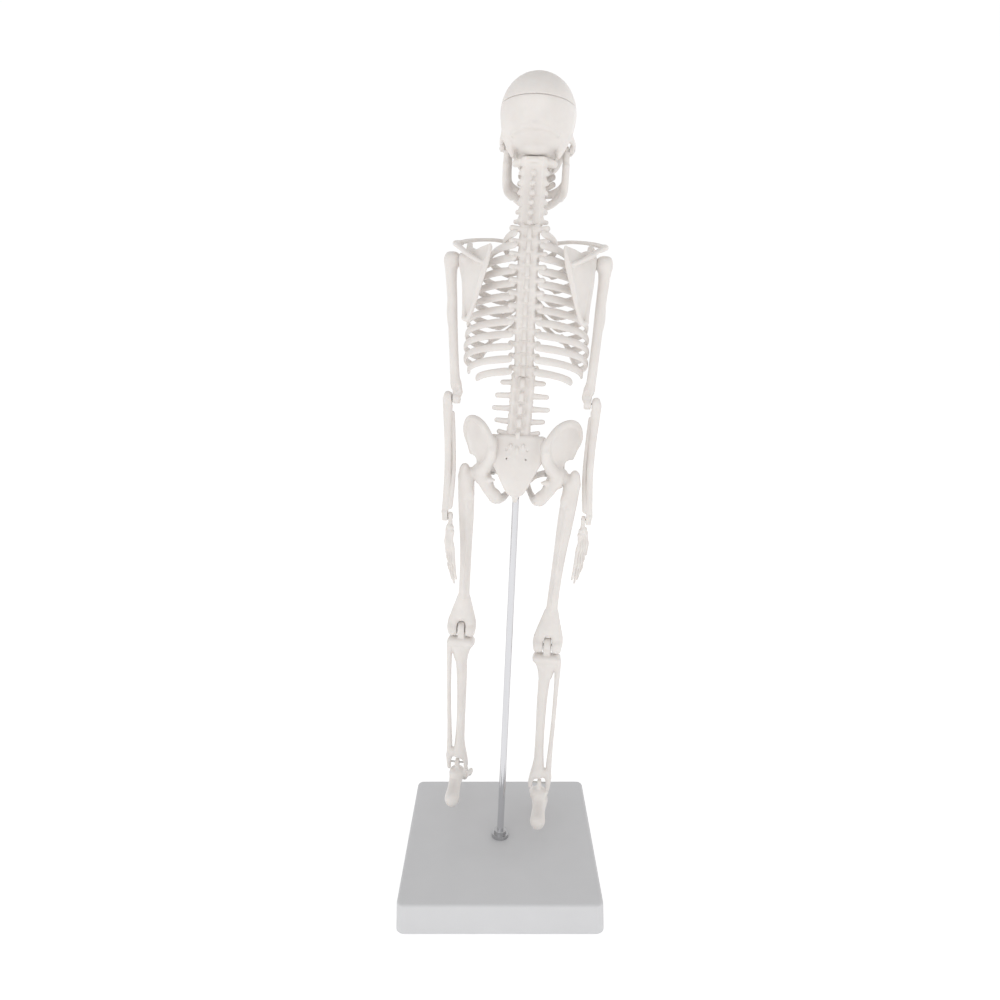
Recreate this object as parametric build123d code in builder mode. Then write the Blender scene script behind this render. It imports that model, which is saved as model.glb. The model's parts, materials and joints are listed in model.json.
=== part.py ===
from build123d import *
import os
from math import cos, radians, sin, sqrt

os.makedirs("parts", exist_ok=True)

# Stand, in millimetres. The row frame has its origin under the middle of the base, +Z up.
BASE_SIDE = 114.0
BASE_DRAFT = 0.8
BASE_HEIGHT = 18.5
BASE_CORNER = 4.0
BASE_WALL = 2.2
BASE_EDGE_ROUND = 1.6
FOOT_RADIUS = 5.0
FOOT_HEIGHT = 3.6
FOOT_STAND = 0.6
FOOT_INSET = 44.0
ROD_RADIUS = 2.0
ROD_FOOT = -14.0
ROD_TOP = 243.0
COLLAR_FLANGE = (5.15, 2.2)
COLLAR_RING = (3.75, 4.8)
BOSS_RADIUS = 8.0
BOSS_DEPTH = 8.8
WASHER = (5.5, 1.0)
NUT_FLATS = 7.0
NUT_HEIGHT = 3.2

# The skeleton leans on its rod and is turned a little. Its own frame stands on the base top:
# x to its left, y to its back, z up the rod.
LEAN = -2.35
TURN = -6.0
TRUNK = Location((0, 0, BASE_HEIGHT)) * Location((0, 0, 0), (0, LEAN, 0)) * Location((0, 0, 0), (0, 0, TURN))

RUNNING = 0.05
FACE_GAP = 0.3
BALL = 1.12
FACET_LAP = 0.45
FACET_TURN = 13.0

# Trunk levels, heights above the base top.
COCCYX_TIP = 214.5
SACRUM_TOP = 248.0
LUMBAR_TOP = 283.0
THORAX_TOP = 358.6
NECK_TOP = 391.0
THORAX_X = -1.3
NECK_X = -2.0
PELVIS_X = -1.2
BUSH_RADIUS = 3.0
BUSH_TOP = 245.5
BUSH_FOOT = 229.0

# Joint seats in the skeleton's frame: place, then the sideways tilt of the limb below.
SHOULDER_OUT = {"left": 40.3, "right": 38.3}
SHOULDER_HEIGHT = 341.5
HIP_HALF = 22.0
HIP_HEIGHT = 228.7
HIP_DEPTH = -3.0
UPPER_ARM = 72.0
FOREARM = 65.5
ARM_LAP = 2.1
KNEE_OUT = 4.4
THIGH = 102.0
SHIN = 91.5
ARM_TILT = {"left": 1.6, "right": -0.9}
ARM_SWING = {"left": 2.0, "right": -1.5}
ELBOW_BEND = {"left": 0.0, "right": -2.0}
LEG_TILT = {"left": -3.2, "right": -3.0}
HIP_SWING = {"left": -8.4, "right": -2.0}
KNEE_BEND = {"left": 8.4, "right": 2.0}
FOOT_DROOP = 3.0

PIN = 0.6
SHOULDER_PIN = 0.8
HIP_PIN = 0.9
KNEE_PIN = 0.75
NECK_PIN = 1.0
JAW_PIN = 0.6

SIDES = {"left": 1, "right": -1}
ALONG_X = Location((0, 0, 0), (0, 90, 0))


def turned(rx=0, ry=0, rz=0):
    """A turn about the origin."""
    return Location((0, 0, 0), (rx, ry, rz))


def keep(piece, name, place=TRUNK):
    """Label a finished piece, stand it in its place and write its file."""
    piece.part.label = name
    piece.part.move(place)
    export_step(piece.part, f"parts/{name}.step")


def taper(start, end, start_radius, end_radius, mode=Mode.ADD):
    """A tapered round bar between two points, with flat ends."""
    a = Vector(*start)
    b = Vector(*end)
    with Locations(Plane(origin=(a + b) * 0.5, z_dir=b - a).location):
        if abs(start_radius - end_radius) < 0.01:
            Cylinder(start_radius, (b - a).length, mode=mode)
        else:
            Cone(start_radius, end_radius, (b - a).length, mode=mode)


def chain(points, radii, mode=Mode.ADD):
    """Tapered bars end to end, with one ball at each point."""
    for (a, b), (ra, rb) in zip(zip(points, points[1:]), zip(radii, radii[1:])):
        taper(a, b, ra, rb, mode)
    for point, radius in zip(points, radii):
        with Locations(point):
            Sphere(radius * BALL, mode=mode)


def strut(start, end, start_radius, end_radius, mode=Mode.ADD):
    """A tapered round bar with a ball at each end."""
    chain((start, end), (start_radius, end_radius), mode)


def strap(start, end, wide, tall, mode=Mode.ADD):
    """A flat bar between two points."""
    a = Vector(*start)
    b = Vector(*end)
    with Locations(Plane(origin=(a + b) * 0.5, x_dir=(0, 0, 1), z_dir=b - a).location):
        Box(tall, wide, (b - a).length, mode=mode)


def facets(points, radii):
    """Eight-sided tapered bars end to end, each run on a little past its points and turned from the last."""
    for number, (a, b, ra, rb) in enumerate(zip(points, points[1:], radii, radii[1:])):
        turn = FACET_TURN * (number % 2 + 1)
        run = Vector(*b) - Vector(*a)
        start = Vector(*a) - run.normalized() * (ra * FACET_LAP)
        end = Vector(*b) + run.normalized() * (rb * FACET_LAP)
        with BuildSketch(Plane(origin=start, z_dir=run)) as start_face:
            RegularPolygon(ra, 8, rotation=turn)
        with BuildSketch(Plane(origin=end, z_dir=run)) as end_face:
            RegularPolygon(rb, 8, rotation=turn)
        loft([start_face.sketch, end_face.sketch], ruled=True)


def disc_x(centre, radius, low, high, mode=Mode.ADD):
    """A disc or hole along x, from low to high of the centre."""
    x, y, z = centre
    with Locations(Location((x + (low + high) / 2, y, z)) * ALONG_X):
        Cylinder(radius, abs(high - low), mode=mode)


# Joint seats of the limbs, each a place in the row frame whose x axis is the joint's axis.
SHOULDER_SEAT = {}
HIP_SEAT = {}
UPPER_ARM_PLACE = {}
FOREARM_PLACE = {}
HAND_PLACE = {}
THIGH_PLACE = {}
SHIN_PLACE = {}
FOOT_PLACE = {}
for side, out in SIDES.items():
    SHOULDER_SEAT[side] = Location((THORAX_X + out * SHOULDER_OUT[side], -1, SHOULDER_HEIGHT))
    SHOULDER_SEAT[side] *= turned(ry=ARM_TILT[side])
    HIP_SEAT[side] = Location((PELVIS_X + out * HIP_HALF, HIP_DEPTH, HIP_HEIGHT)) * turned(ry=LEG_TILT[side])
    UPPER_ARM_PLACE[side] = TRUNK * SHOULDER_SEAT[side] * turned(rx=ARM_SWING[side])
    FOREARM_PLACE[side] = UPPER_ARM_PLACE[side] * Location((0, 0, -UPPER_ARM)) * turned(rx=ELBOW_BEND[side])
    HAND_PLACE[side] = FOREARM_PLACE[side] * Location((out * ARM_LAP, 0, -FOREARM))
    THIGH_PLACE[side] = TRUNK * HIP_SEAT[side] * turned(rx=HIP_SWING[side])
    KNEE = Location((out * KNEE_OUT, 0, -THIGH)) * turned(ry=-LEG_TILT[side])
    SHIN_PLACE[side] = THIGH_PLACE[side] * KNEE * turned(rx=KNEE_BEND[side])
    FOOT_PLACE[side] = SHIN_PLACE[side] * Location((0, 0, -SHIN)) * turned(rx=FOOT_DROOP)
SKULL_PLACE = TRUNK * Location((NECK_X, 1, NECK_TOP)) * turned(ry=-0.6)


# ---------------------------------------------------------------- stand
with BuildPart() as base_shell:
    with BuildSketch(Plane.XY.offset(FOOT_STAND)):
        RectangleRounded(BASE_SIDE + 2 * BASE_DRAFT, BASE_SIDE + 2 * BASE_DRAFT, BASE_CORNER + BASE_DRAFT)
    with BuildSketch(Plane.XY.offset(BASE_HEIGHT)):
        RectangleRounded(BASE_SIDE, BASE_SIDE, BASE_CORNER)
    loft()
    fillet(base_shell.edges().group_by(Axis.Z)[-1], BASE_EDGE_ROUND)
    with BuildSketch(Plane.XY.offset(FOOT_STAND)):
        RectangleRounded(BASE_SIDE - 2 * BASE_WALL, BASE_SIDE - 2 * BASE_WALL, BASE_CORNER - 1)
    extrude(amount=BASE_HEIGHT - BASE_WALL - FOOT_STAND, mode=Mode.SUBTRACT)
    with Locations((0, 0, BASE_HEIGHT - BASE_WALL)):
        with GridLocations(2 * FOOT_INSET, 2 * FOOT_INSET, 2, 2):
            Cylinder(FOOT_RADIUS + 1, BASE_HEIGHT - BASE_WALL - FOOT_HEIGHT,
                     align=(Align.CENTER, Align.CENTER, Align.MAX))
        for angle in (0, 90):
            Box(BASE_SIDE - 2 * BASE_WALL, 1.6, 8, rotation=(0, 0, angle),
                align=(Align.CENTER, Align.CENTER, Align.MAX))
    with Locations(TRUNK * Location((0, 0, -BASE_WALL / 2))):
        Cylinder(BOSS_RADIUS, BOSS_DEPTH - BASE_WALL / 2, align=(Align.CENTER, Align.CENTER, Align.MAX))
    with Locations(TRUNK * Location((0, 0, -BOSS_DEPTH))):
        Cylinder(WASHER[0] + 3, 6, align=(Align.CENTER, Align.CENTER, Align.MAX), mode=Mode.SUBTRACT)
    with Locations(TRUNK):
        Cylinder(COLLAR_FLANGE[0] + 0.05, 3, align=(Align.CENTER, Align.CENTER, Align.MIN),
                 mode=Mode.SUBTRACT)
        Cylinder(ROD_RADIUS, 40, mode=Mode.SUBTRACT)
keep(base_shell, "base_shell", Location())

with BuildPart() as rubber_feet:
    with GridLocations(2 * FOOT_INSET, 2 * FOOT_INSET, 2, 2):
        Cylinder(FOOT_RADIUS, FOOT_HEIGHT, align=(Align.CENTER, Align.CENTER, Align.MIN))
    chamfer(rubber_feet.edges().group_by(Axis.Z)[0], 0.5)
keep(rubber_feet, "rubber_feet", Location())

with BuildPart() as support_rod:
    with Locations((0, 0, ROD_FOOT)):
        Cylinder(ROD_RADIUS, ROD_TOP - ROD_FOOT, align=(Align.CENTER, Align.CENTER, Align.MIN))
    chamfer(support_rod.edges().group_by(Axis.Z)[-1], 0.4)
keep(support_rod, "support_rod")

with BuildPart() as rod_collar:
    Cylinder(COLLAR_FLANGE[0], COLLAR_FLANGE[1], align=(Align.CENTER, Align.CENTER, Align.MIN))
    Cylinder(COLLAR_RING[0], COLLAR_RING[1], align=(Align.CENTER, Align.CENTER, Align.MIN))
    chamfer(rod_collar.edges().filter_by(GeomType.CIRCLE).group_by(Axis.Z)[-1], 0.35)
    Cylinder(ROD_RADIUS, 20, mode=Mode.SUBTRACT)
keep(rod_collar, "rod_collar")

with BuildPart() as base_washer:
    with Locations((0, 0, -BOSS_DEPTH)):
        Cylinder(WASHER[0], WASHER[1], align=(Align.CENTER, Align.CENTER, Align.MAX))
    Cylinder(ROD_RADIUS, 40, mode=Mode.SUBTRACT)
keep(base_washer, "base_washer")

with BuildPart() as base_nut:
    with BuildSketch(Plane.XY.offset(-BOSS_DEPTH - WASHER[1] - NUT_HEIGHT)):
        RegularPolygon(NUT_FLATS / 2, 6, major_radius=False)
        Circle(ROD_RADIUS, mode=Mode.SUBTRACT)
    extrude(amount=NUT_HEIGHT)
keep(base_nut, "base_nut")


# ---------------------------------------------------------------- spine
def spine_x(z):
    """Sideways place of the column at a height."""
    if z < LUMBAR_TOP:
        return THORAX_X * max(0.0, (z - SACRUM_TOP) / (LUMBAR_TOP - SACRUM_TOP))
    if z < THORAX_TOP:
        return THORAX_X
    return THORAX_X + (NECK_X - THORAX_X) * (z - THORAX_TOP) / (NECK_TOP - THORAX_TOP)


def spine_y(z):
    """Fore and aft place of the vertebral bodies: two gentle curves, one each way."""
    if z < LUMBAR_TOP:
        return -3.0 * sin(radians(180 * (z - SACRUM_TOP) / (LUMBAR_TOP - SACRUM_TOP) * 0.6))
    if z < THORAX_TOP:
        along = (z - LUMBAR_TOP) / (THORAX_TOP - LUMBAR_TOP)
        return -2.8 + 5.8 * sin(radians(180 * along)) + 4.0 * along
    return 1.2


def vertebra(z, height, body, wing, wing_back, spine_back, spine_drop):
    """One vertebra: its body, wings to the sides and spine to the back."""
    x = spine_x(z)
    y = spine_y(z)
    with BuildSketch(Plane.XY.offset(z - height / 2)) as outline:
        with Locations((x, y)):
            RegularPolygon(body, 8)
        with Locations((x, y + body)):
            Rectangle(1.3 * body, 0.9 * body)
    extrude(outline.sketch, amount=height)
    for out in SIDES.values():
        facets([(x + out * body * 0.6, y + body * 0.8, z), (x + out * wing, y + wing_back, z - 0.2)],
               [1.5, 1.2])
    facets([(x, y + body, z), (x, y + spine_back, z - spine_drop)], [1.5, 1.2])


def column(low, high, count, body, wing, wing_back, spine_back, spine_drop):
    """A moulded run of vertebrae between two heights."""
    pitch = (high - low) / count
    for level in range(count):
        z = low + (level + 0.5) * pitch
        vertebra(z, pitch, body(level), wing(level), wing_back, spine_back, spine_drop)


with BuildPart() as lumbar_spine:
    column(SACRUM_TOP, LUMBAR_TOP, 5, lambda n: 5.6 - 0.1 * n, lambda n: (11, 13, 14.2, 13, 11)[n], 4.6, 10.5, 0.8)
    split(bisect_by=Plane.XY.offset(SACRUM_TOP), keep=Keep.TOP)
    split(bisect_by=Plane.XY.offset(LUMBAR_TOP), keep=Keep.BOTTOM)
with BuildPart() as thoracic_spine:
    column(LUMBAR_TOP, THORAX_TOP, 12, lambda n: 5.0 - 0.1 * n, lambda n: 6.4 + 0.22 * n, 6.0, 9.6, 2.4)
    split(bisect_by=Plane.XY.offset(LUMBAR_TOP), keep=Keep.TOP)
    split(bisect_by=Plane.XY.offset(THORAX_TOP), keep=Keep.BOTTOM)
with BuildPart() as cervical_spine:
    column(THORAX_TOP, NECK_TOP, 7, lambda n: 4.4 - 0.1 * n, lambda n: (7.4, 6.6, 6.2, 6, 6, 6.4, 10.2)[n], 2.0, 8.5, 0.8)
    split(bisect_by=Plane.XY.offset(THORAX_TOP), keep=Keep.TOP)
    split(bisect_by=Plane.XY.offset(NECK_TOP), keep=Keep.BOTTOM)
    with Locations((NECK_X, 1, NECK_TOP)):
        Cylinder(NECK_PIN, 16, mode=Mode.SUBTRACT)

with BuildPart() as neck_pin:
    with Locations((NECK_X, 1, NECK_TOP - 8)):
        Cylinder(NECK_PIN, 12.5, align=(Align.CENTER, Align.CENTER, Align.MIN))
keep(neck_pin, "neck_pin")


# ---------------------------------------------------------------- pelvis
SACRUM_HALF = 13.0
with BuildPart() as sacrum:
    with BuildSketch(Plane.YZ) as sacrum_side:
        with BuildLine():
            Polyline((-5, SACRUM_TOP), (7, SACRUM_TOP), (10.5, 240), (11, 230), (8, 219), (6.6, COCCYX_TIP),
                     (4, COCCYX_TIP))
            Polyline((4, COCCYX_TIP), (4.2, 221), (6, 229), (3.2, 233), (-4, 236), (-5, SACRUM_TOP))
        make_face()
    extrude(amount=SACRUM_HALF, both=True)
    with BuildSketch(Plane.XZ) as sacrum_front:
        Polygon((-13, SACRUM_TOP + 1), (13, SACRUM_TOP + 1), (12, 240), (8.5, 230), (5, 219), (1.6, 217), (1.3, 214),
                (-1.3, 214), (-1.6, 217), (-5, 219), (-8.5, 230), (-12, 240), align=None)
    extrude(amount=30, both=True, mode=Mode.INTERSECT)
    Cylinder(BUSH_RADIUS, BUSH_TOP, align=(Align.CENTER, Align.CENTER, Align.MIN), mode=Mode.SUBTRACT)

with BuildPart() as rod_bush:
    with Locations((0, 0, BUSH_TOP)):
        Cylinder(BUSH_RADIUS, BUSH_TOP - BUSH_FOOT, align=(Align.CENTER, Align.CENTER, Align.MAX))
    Cylinder(ROD_RADIUS + RUNNING, ROD_TOP + RUNNING, align=(Align.CENTER, Align.CENTER, Align.MIN),
             mode=Mode.SUBTRACT)
keep(rod_bush, "rod_bush")

SOCKET_RADIUS = 5.9
hip_bones = {}
for side, out in SIDES.items():
    def at(x, y, z):
        """A point of this side's hip bone."""
        return (PELVIS_X + out * x, y, z)

    with BuildPart() as hip_bone:
        wing = Plane(origin=at(22, -1, 246), x_dir=(out * 0.50, -0.86, 0), z_dir=(out * 0.80, 0.46, -0.39))
        with BuildSketch(wing):
            Ellipse(15, 12.5)
        extrude(amount=1.5, both=True)
        facets([at(13.5, 8, 242), at(17, 7, 234), at(21, -1, 229)], [3.8, 4.6, 7.0])
        facets([at(19, 1, 227), at(13, 4.5, 219.5), at(9.5, 1, 217), at(5, -9, 219.5), at(3.4, -14.2, 222.8)],
               [4.8, 4.0, 3.3, 2.5, 2.3])
        facets([at(19, -4, 228), at(11, -13, 227), at(4, -15, 223.5)], [4.0, 2.9, 2.9])
        facets([at(21, -1.5, 230), at(21.6, -1.2, 244)], [6.6, 3.6])
        with Locations(HIP_SEAT[side] * Location((out * (3.2 + 20), 0, 0))):
            Box(40, 26, 24, mode=Mode.SUBTRACT)
        with Locations(HIP_SEAT[side] * Location((out * 4, 0, 0)) * ALONG_X):
            Cylinder(SOCKET_RADIUS, 8 + 2 * SOCKET_RADIUS, mode=Mode.SUBTRACT)
        with Locations(HIP_SEAT[side] * Location((-out * 6, 0, 0)) * ALONG_X):
            Cylinder(HIP_PIN, 8, mode=Mode.SUBTRACT)
        split(bisect_by=Plane(origin=(PELVIS_X + out * 2.0, 0, 0), z_dir=(out, 0, 0)), keep=Keep.TOP)
        add(sacrum.part, mode=Mode.SUBTRACT)
    hip_bones[side] = hip_bone
    keep(hip_bone, f"hip_bone_{side}")
keep(sacrum, "sacrum")
keep(lumbar_spine, "lumbar_spine")
keep(cervical_spine, "cervical_spine")

with BuildPart() as pubic_symphysis:
    disc_x((PELVIS_X, -15, 223.5), 2.4, -2.0, 2.0)
keep(pubic_symphysis, "pubic_symphysis")

with BuildPart() as hip_pins:
    for side, out in SIDES.items():
        with Locations(HIP_SEAT[side] * Location((-out * 2.0, 0, 0)) * ALONG_X):
            Cylinder(HIP_PIN, 12)
keep(hip_pins, "hip_pins")


# ---------------------------------------------------------------- rib cage
RIB_PITCH = (THORAX_TOP - LUMBAR_TOP) / 12
RIB_WIDTHS = (14.5, 21.5, 26.0, 28.8, 30.6, 31.8, 32.8, 33.5, 34.0, 33.8, 31.5, 28.0)
RIB_DEPTHS = (15.6, 18.0, 19.2, 20.0, 20.8, 21.3, 21.6, 21.6, 21.4, 21.0, 20.5, 20.0)
RIB_ENDS = (9.0, 12.0, 14.0, 16.0, 18.0, 20.0, 22.0, 25.0, 28.0, 30.5)
FLOATING_ENDS = (-4.0, 7.0)
RIB_START = 8.2
RIB_SLOPE = 24.0
RIB_BACK = 13.5
RIB_THICK = 1.7
RIB_TALL = 2.6
STERNUM_TOP = (-17.0, 353.0)
STERNUM_END = (-27.0, 308.0)
STERNUM_LEVELS = (346.5, 341.0, 335.0, 329.0, 323.5, 319.0, 315.5)


def rib_plane(number, out):
    """The tilted plane of a rib, at its middle; ribs slope down to the front."""
    depth = RIB_DEPTHS[number]
    z_back = THORAX_TOP - (number + 0.5) * RIB_PITCH
    slope = radians(RIB_SLOPE)
    origin = (THORAX_X, RIB_BACK - depth * cos(slope), z_back - depth * sin(slope))
    return Plane(origin=origin, x_dir=(out, 0, 0), z_dir=(0, -out * sin(slope), out * cos(slope)))


def rib(number, out):
    """One rib: an elliptical band from near the spine round to its front end."""
    width = RIB_WIDTHS[number]
    depth = RIB_DEPTHS[number]
    floating = number >= len(RIB_ENDS)
    with BuildSketch() as sector:
        with Locations((RIB_START, FLOATING_ENDS[number - len(RIB_ENDS)] if floating else 0)):
            Rectangle(60, 60, align=(Align.MIN, Align.MIN))
        if not floating:
            with Locations((RIB_ENDS[number], 0)):
                Rectangle(60, 60, align=(Align.MIN, Align.MAX))
    with BuildSketch() as band:
        Ellipse(width, depth)
        Ellipse(width - RIB_THICK, depth - RIB_THICK, mode=Mode.SUBTRACT)
        add(sector.sketch, mode=Mode.INTERSECT)
    extrude(rib_plane(number, out).from_local_coords(band.sketch), amount=RIB_TALL / 2, both=True)


def rib_front(number, out):
    """The middle of a rib's front end."""
    width = RIB_WIDTHS[number] - RIB_THICK / 2
    depth = RIB_DEPTHS[number] - RIB_THICK / 2
    end = RIB_ENDS[number]
    return rib_plane(number, out).from_local_coords(Vector(end, -depth * sqrt(1 - (end / width) ** 2), 0))


def sternum_y(z):
    """Fore and aft place of the sternum at a height."""
    along = (STERNUM_TOP[1] - z) / (STERNUM_TOP[1] - STERNUM_END[1])
    return STERNUM_TOP[0] + along * (STERNUM_END[0] - STERNUM_TOP[0])


with BuildPart() as sternum:
    lean = Plane(
        origin=(THORAX_X, STERNUM_TOP[0], STERNUM_TOP[1]),
        x_dir=(1, 0, 0),
        z_dir=(0, STERNUM_END[1] - STERNUM_TOP[1], STERNUM_TOP[0] - STERNUM_END[0]),
    )
    with BuildSketch(lean) as sternum_face:
        Polygon((-6, 0), (6, 0), (5.2, -8), (2.9, -12), (3.6, -26), (3.4, -36), (1.2, -39), (0.9, -46),
                (-0.9, -46), (-1.2, -39), (-3.4, -36), (-3.6, -26), (-2.9, -12), (-5.2, -8), align=None)
    extrude(amount=1.2, both=True)
keep_later = [(sternum, "sternum")]

RIB_GROUPS = {"true_ribs": range(0, 7), "false_ribs": range(7, 10), "floating_ribs": range(10, 12)}
for side, out in SIDES.items():
    cage = []
    for group, numbers in RIB_GROUPS.items():
        with BuildPart() as ribs:
            for number in numbers:
                rib(number, out)
            add(thoracic_spine.part, mode=Mode.SUBTRACT)
        cage.append(ribs)
        keep_later.append((ribs, f"{group}_{side}"))
    with BuildPart() as cartilage:
        for number, level in enumerate(STERNUM_LEVELS):
            front = rib_front(number, out)
            edge = 4.6 if number == 0 else 3.2
            strap(tuple(front), (THORAX_X + out * edge, sternum_y(level), level), 1.6, 2.2)
        for number in (7, 8, 9):
            front = rib_front(number, out)
            upper = rib_front(number - 1, out)
            strap(tuple(front), tuple(upper + Vector(-out * 3.4, -1.2, 1.6)), 1.6, 2.2)
        for ribs in cage:
            add(ribs.part, mode=Mode.SUBTRACT)
        add(sternum.part, mode=Mode.SUBTRACT)
    keep_later.append((cartilage, f"costal_cartilage_{side}"))


# ---------------------------------------------------------------- shoulder girdle
GLENOID = 4.7
for side, out in SIDES.items():
    def at(x, y, z):
        """A point of this side's shoulder girdle."""
        return (THORAX_X + out * x, y, z)

    with BuildPart() as clavicle:
        with BuildLine() as clavicle_line:
            ThreePointArc(at(6.2, -17.3, 352.2), at(20, -12, 353.2), at(36.2, -1.4, 349.6))
        with BuildSketch(Plane(origin=clavicle_line.line @ 0, z_dir=clavicle_line.line % 0)) as clavicle_end:
            Circle(1.15)
        sweep(clavicle_end.sketch, path=clavicle_line.line)
        add(sternum.part, mode=Mode.SUBTRACT)
    keep_later.append((clavicle, f"clavicle_{side}"))

    inner = Vector(*at(17.5, 17.0, 346.5))
    lower = Vector(*at(29.5, 15.5, 310.5))
    outer = Vector(*at(32.5, 4.0, 340.0))
    normal = (lower - inner).cross(outer - inner) * out
    with BuildPart() as scapula:
        with BuildSketch(Plane(origin=inner, x_dir=lower - inner, z_dir=normal)) as blade:
            corners = [Plane(origin=inner, x_dir=lower - inner, z_dir=normal).to_local_coords(p)
                       for p in (inner, lower, outer)]
            Polygon(*[(p.X, p.Y) for p in corners], align=None)
        extrude(amount=0.7, both=True)
        facets([tuple(outer), at(SHOULDER_OUT[side] - 5.5, 0, 341.0)], [2.6, 3.8])
        facets([at(18.0, 17.5, 338), at(30, 12.5, 344.5), at(37, 5.0, 348.3), at(36.8, -0.5, 348.6)],
               [1.3, 1.8, 1.9, 1.9])
        facets([tuple((inner + lower * 2) * (1 / 3)), at(25.2, 5.6, 326.4)], [1.3, 1.1])
        with Locations(SHOULDER_SEAT[side] * Location((out * (20 - GLENOID), 0, -4))):
            Box(40, 24, 17, mode=Mode.SUBTRACT)
        with Locations(SHOULDER_SEAT[side] * Location((-out * 5, 0, 0)) * ALONG_X):
            Cylinder(SHOULDER_PIN, 6, mode=Mode.SUBTRACT)
    keep_later.append((scapula, f"scapula_{side}"))

with BuildPart() as shoulder_pins:
    for side, out in SIDES.items():
        with Locations(SHOULDER_SEAT[side] * Location((-out * 3.0, 0, 0)) * ALONG_X):
            Cylinder(SHOULDER_PIN, 10)
keep_later.append((shoulder_pins, "shoulder_pins"))
keep_later.append((thoracic_spine, "thoracic_spine"))
for piece, name in keep_later:
    keep(piece, name)


# ---------------------------------------------------------------- skull
# The skull's own frame has its origin on the neck pin, where the skull sits on the atlas.
VAULT = (0, -2.5, 20.6)
VAULT_LENGTH = 25.0
VAULT_RADIUS = 19.0
VAULT_WALL = 1.8
CAP_LEVEL = 23.4
CAP_GAP = 0.1
CAP_SHARE = (CAP_LEVEL - VAULT[2]) / VAULT_RADIUS
EGG_BELOW = (-0.985, -0.9, -0.7, -0.4, 0.0)
EGG_ABOVE = (0.45, 0.7, 0.88, 0.97, 0.993)
JAW_SEAT = (0, -7.0, 6.0)
JAW_SEAT_LOW = 16.45
JAW_SEAT_HIGH = 19.3


def vault(levels, shrink=0.0, mode=Mode.ADD):
    """The egg of the brain case as a stack of ellipses; levels are shares of its half height."""
    sections = []
    for level in levels:
        swell = sqrt(1 - level**2)
        with BuildSketch(Plane.XY.offset(VAULT[2] + level * (VAULT_RADIUS - shrink))) as section:
            with Locations((0, VAULT[1])):
                Ellipse((VAULT_RADIUS - shrink) * swell, (VAULT_LENGTH - shrink) * swell)
        sections.append(section.sketch)
    loft(sections, mode=mode)


with BuildPart() as cranium:
    vault(EGG_BELOW + (CAP_SHARE,))
    with BuildSketch(Plane.XY.offset(21)) as brow:
        with Locations((0, -20)):
            RectangleRounded(28, 13, 4)
    with BuildSketch(Plane.XY.offset(6)) as cheeks:
        with Locations((0, -22.5)):
            RectangleRounded(27, 12, 4)
    with BuildSketch(Plane.XY.offset(-5)) as palate:
        with Locations((0, -24.5)):
            RectangleRounded(17, 10, 3)
    loft([brow.sketch, cheeks.sketch, palate.sketch], ruled=True)
    for out in SIDES.values():
        with Locations(Location((out * 7.3, -29, 12.8)) * turned(rx=90)):
            Cylinder(4.6, 13, mode=Mode.SUBTRACT)
    with BuildSketch(Plane.XZ.offset(23)) as nose:
        Polygon((0, 10.4), (-2.8, 3.6), (2.8, 3.6), align=None)
    extrude(nose.sketch, amount=14, mode=Mode.SUBTRACT)
    vault(EGG_BELOW + EGG_ABOVE, VAULT_WALL, mode=Mode.SUBTRACT)
    with Locations((0, 0, FACE_GAP)):
        Cylinder(6.9, 6.3, align=(Align.CENTER, Align.CENTER, Align.MIN))
    for out in SIDES.values():
        arch = [(11.5, -23.5, 7.4), (17.7, -18.2, 7.8), (18.3, -7.5, 8.6), (16.0, 3.0, 11.5)]
        facets([(out * x, y, z) for x, y, z in arch], [1.5] * 4)
        taper((out * 12.0, 3.0, 7.4), (out * 11.2, 1.0, 1.0), 3.2, 1.4)
        disc_x(JAW_SEAT, 2.2, *sorted((out * JAW_SEAT_LOW, out * JAW_SEAT_HIGH)))
    Cylinder(NECK_PIN + RUNNING, 10, mode=Mode.SUBTRACT)
    disc_x(JAW_SEAT, JAW_PIN, -JAW_SEAT_HIGH, -JAW_SEAT_LOW, mode=Mode.SUBTRACT)
    disc_x(JAW_SEAT, JAW_PIN, JAW_SEAT_LOW, JAW_SEAT_HIGH, mode=Mode.SUBTRACT)
keep(cranium, "cranium", SKULL_PLACE)

with BuildPart() as skull_cap:
    vault((CAP_SHARE + CAP_GAP / VAULT_RADIUS,) + EGG_ABOVE)
    vault((0.0,) + EGG_ABOVE, VAULT_WALL, mode=Mode.SUBTRACT)
keep(skull_cap, "skull_cap", SKULL_PLACE)


# ---------------------------------------------------------------- jaw
RAMUS_X = 15.1
with BuildPart() as mandible:
    for out in SIDES.values():
        with BuildSketch(Plane.YZ.offset(out * RAMUS_X)) as ramus:
            Polygon((-9, 7.4), (-4.8, 7.0), (-4.2, 4), (-6.5, -9), (-9, -13), (-14, -14), (-15, -8),
                    (-14.5, 2), (-15, 7), (-12.5, 6), (-11, 4.5), align=None)
        extrude(ramus.sketch, amount=1.1, both=True)
    with BuildSketch(Plane.XY.offset(-16)) as bow:
        with Locations((0, -14)):
            Ellipse(16.2, 18.5)
            Ellipse(13.9, 15.6, mode=Mode.SUBTRACT)
            Rectangle(60, 60, align=(Align.CENTER, Align.MIN), mode=Mode.SUBTRACT)
    extrude(bow.sketch, amount=9.4)
    with Locations(Location((0, -14, -16)) * turned(rx=10)):
        Box(60, 60, 8, align=(Align.CENTER, Align.MAX, Align.MAX), mode=Mode.SUBTRACT)
    disc_x(JAW_SEAT, JAW_PIN + RUNNING, -20, 20, mode=Mode.SUBTRACT)
keep(mandible, "mandible", SKULL_PLACE)

with BuildPart() as jaw_pins:
    for out in SIDES.values():
        disc_x(JAW_SEAT, JAW_PIN, *sorted((out * (RAMUS_X - 1.4), out * JAW_SEAT_HIGH)))
keep(jaw_pins, "jaw_pins", SKULL_PLACE)


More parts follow.
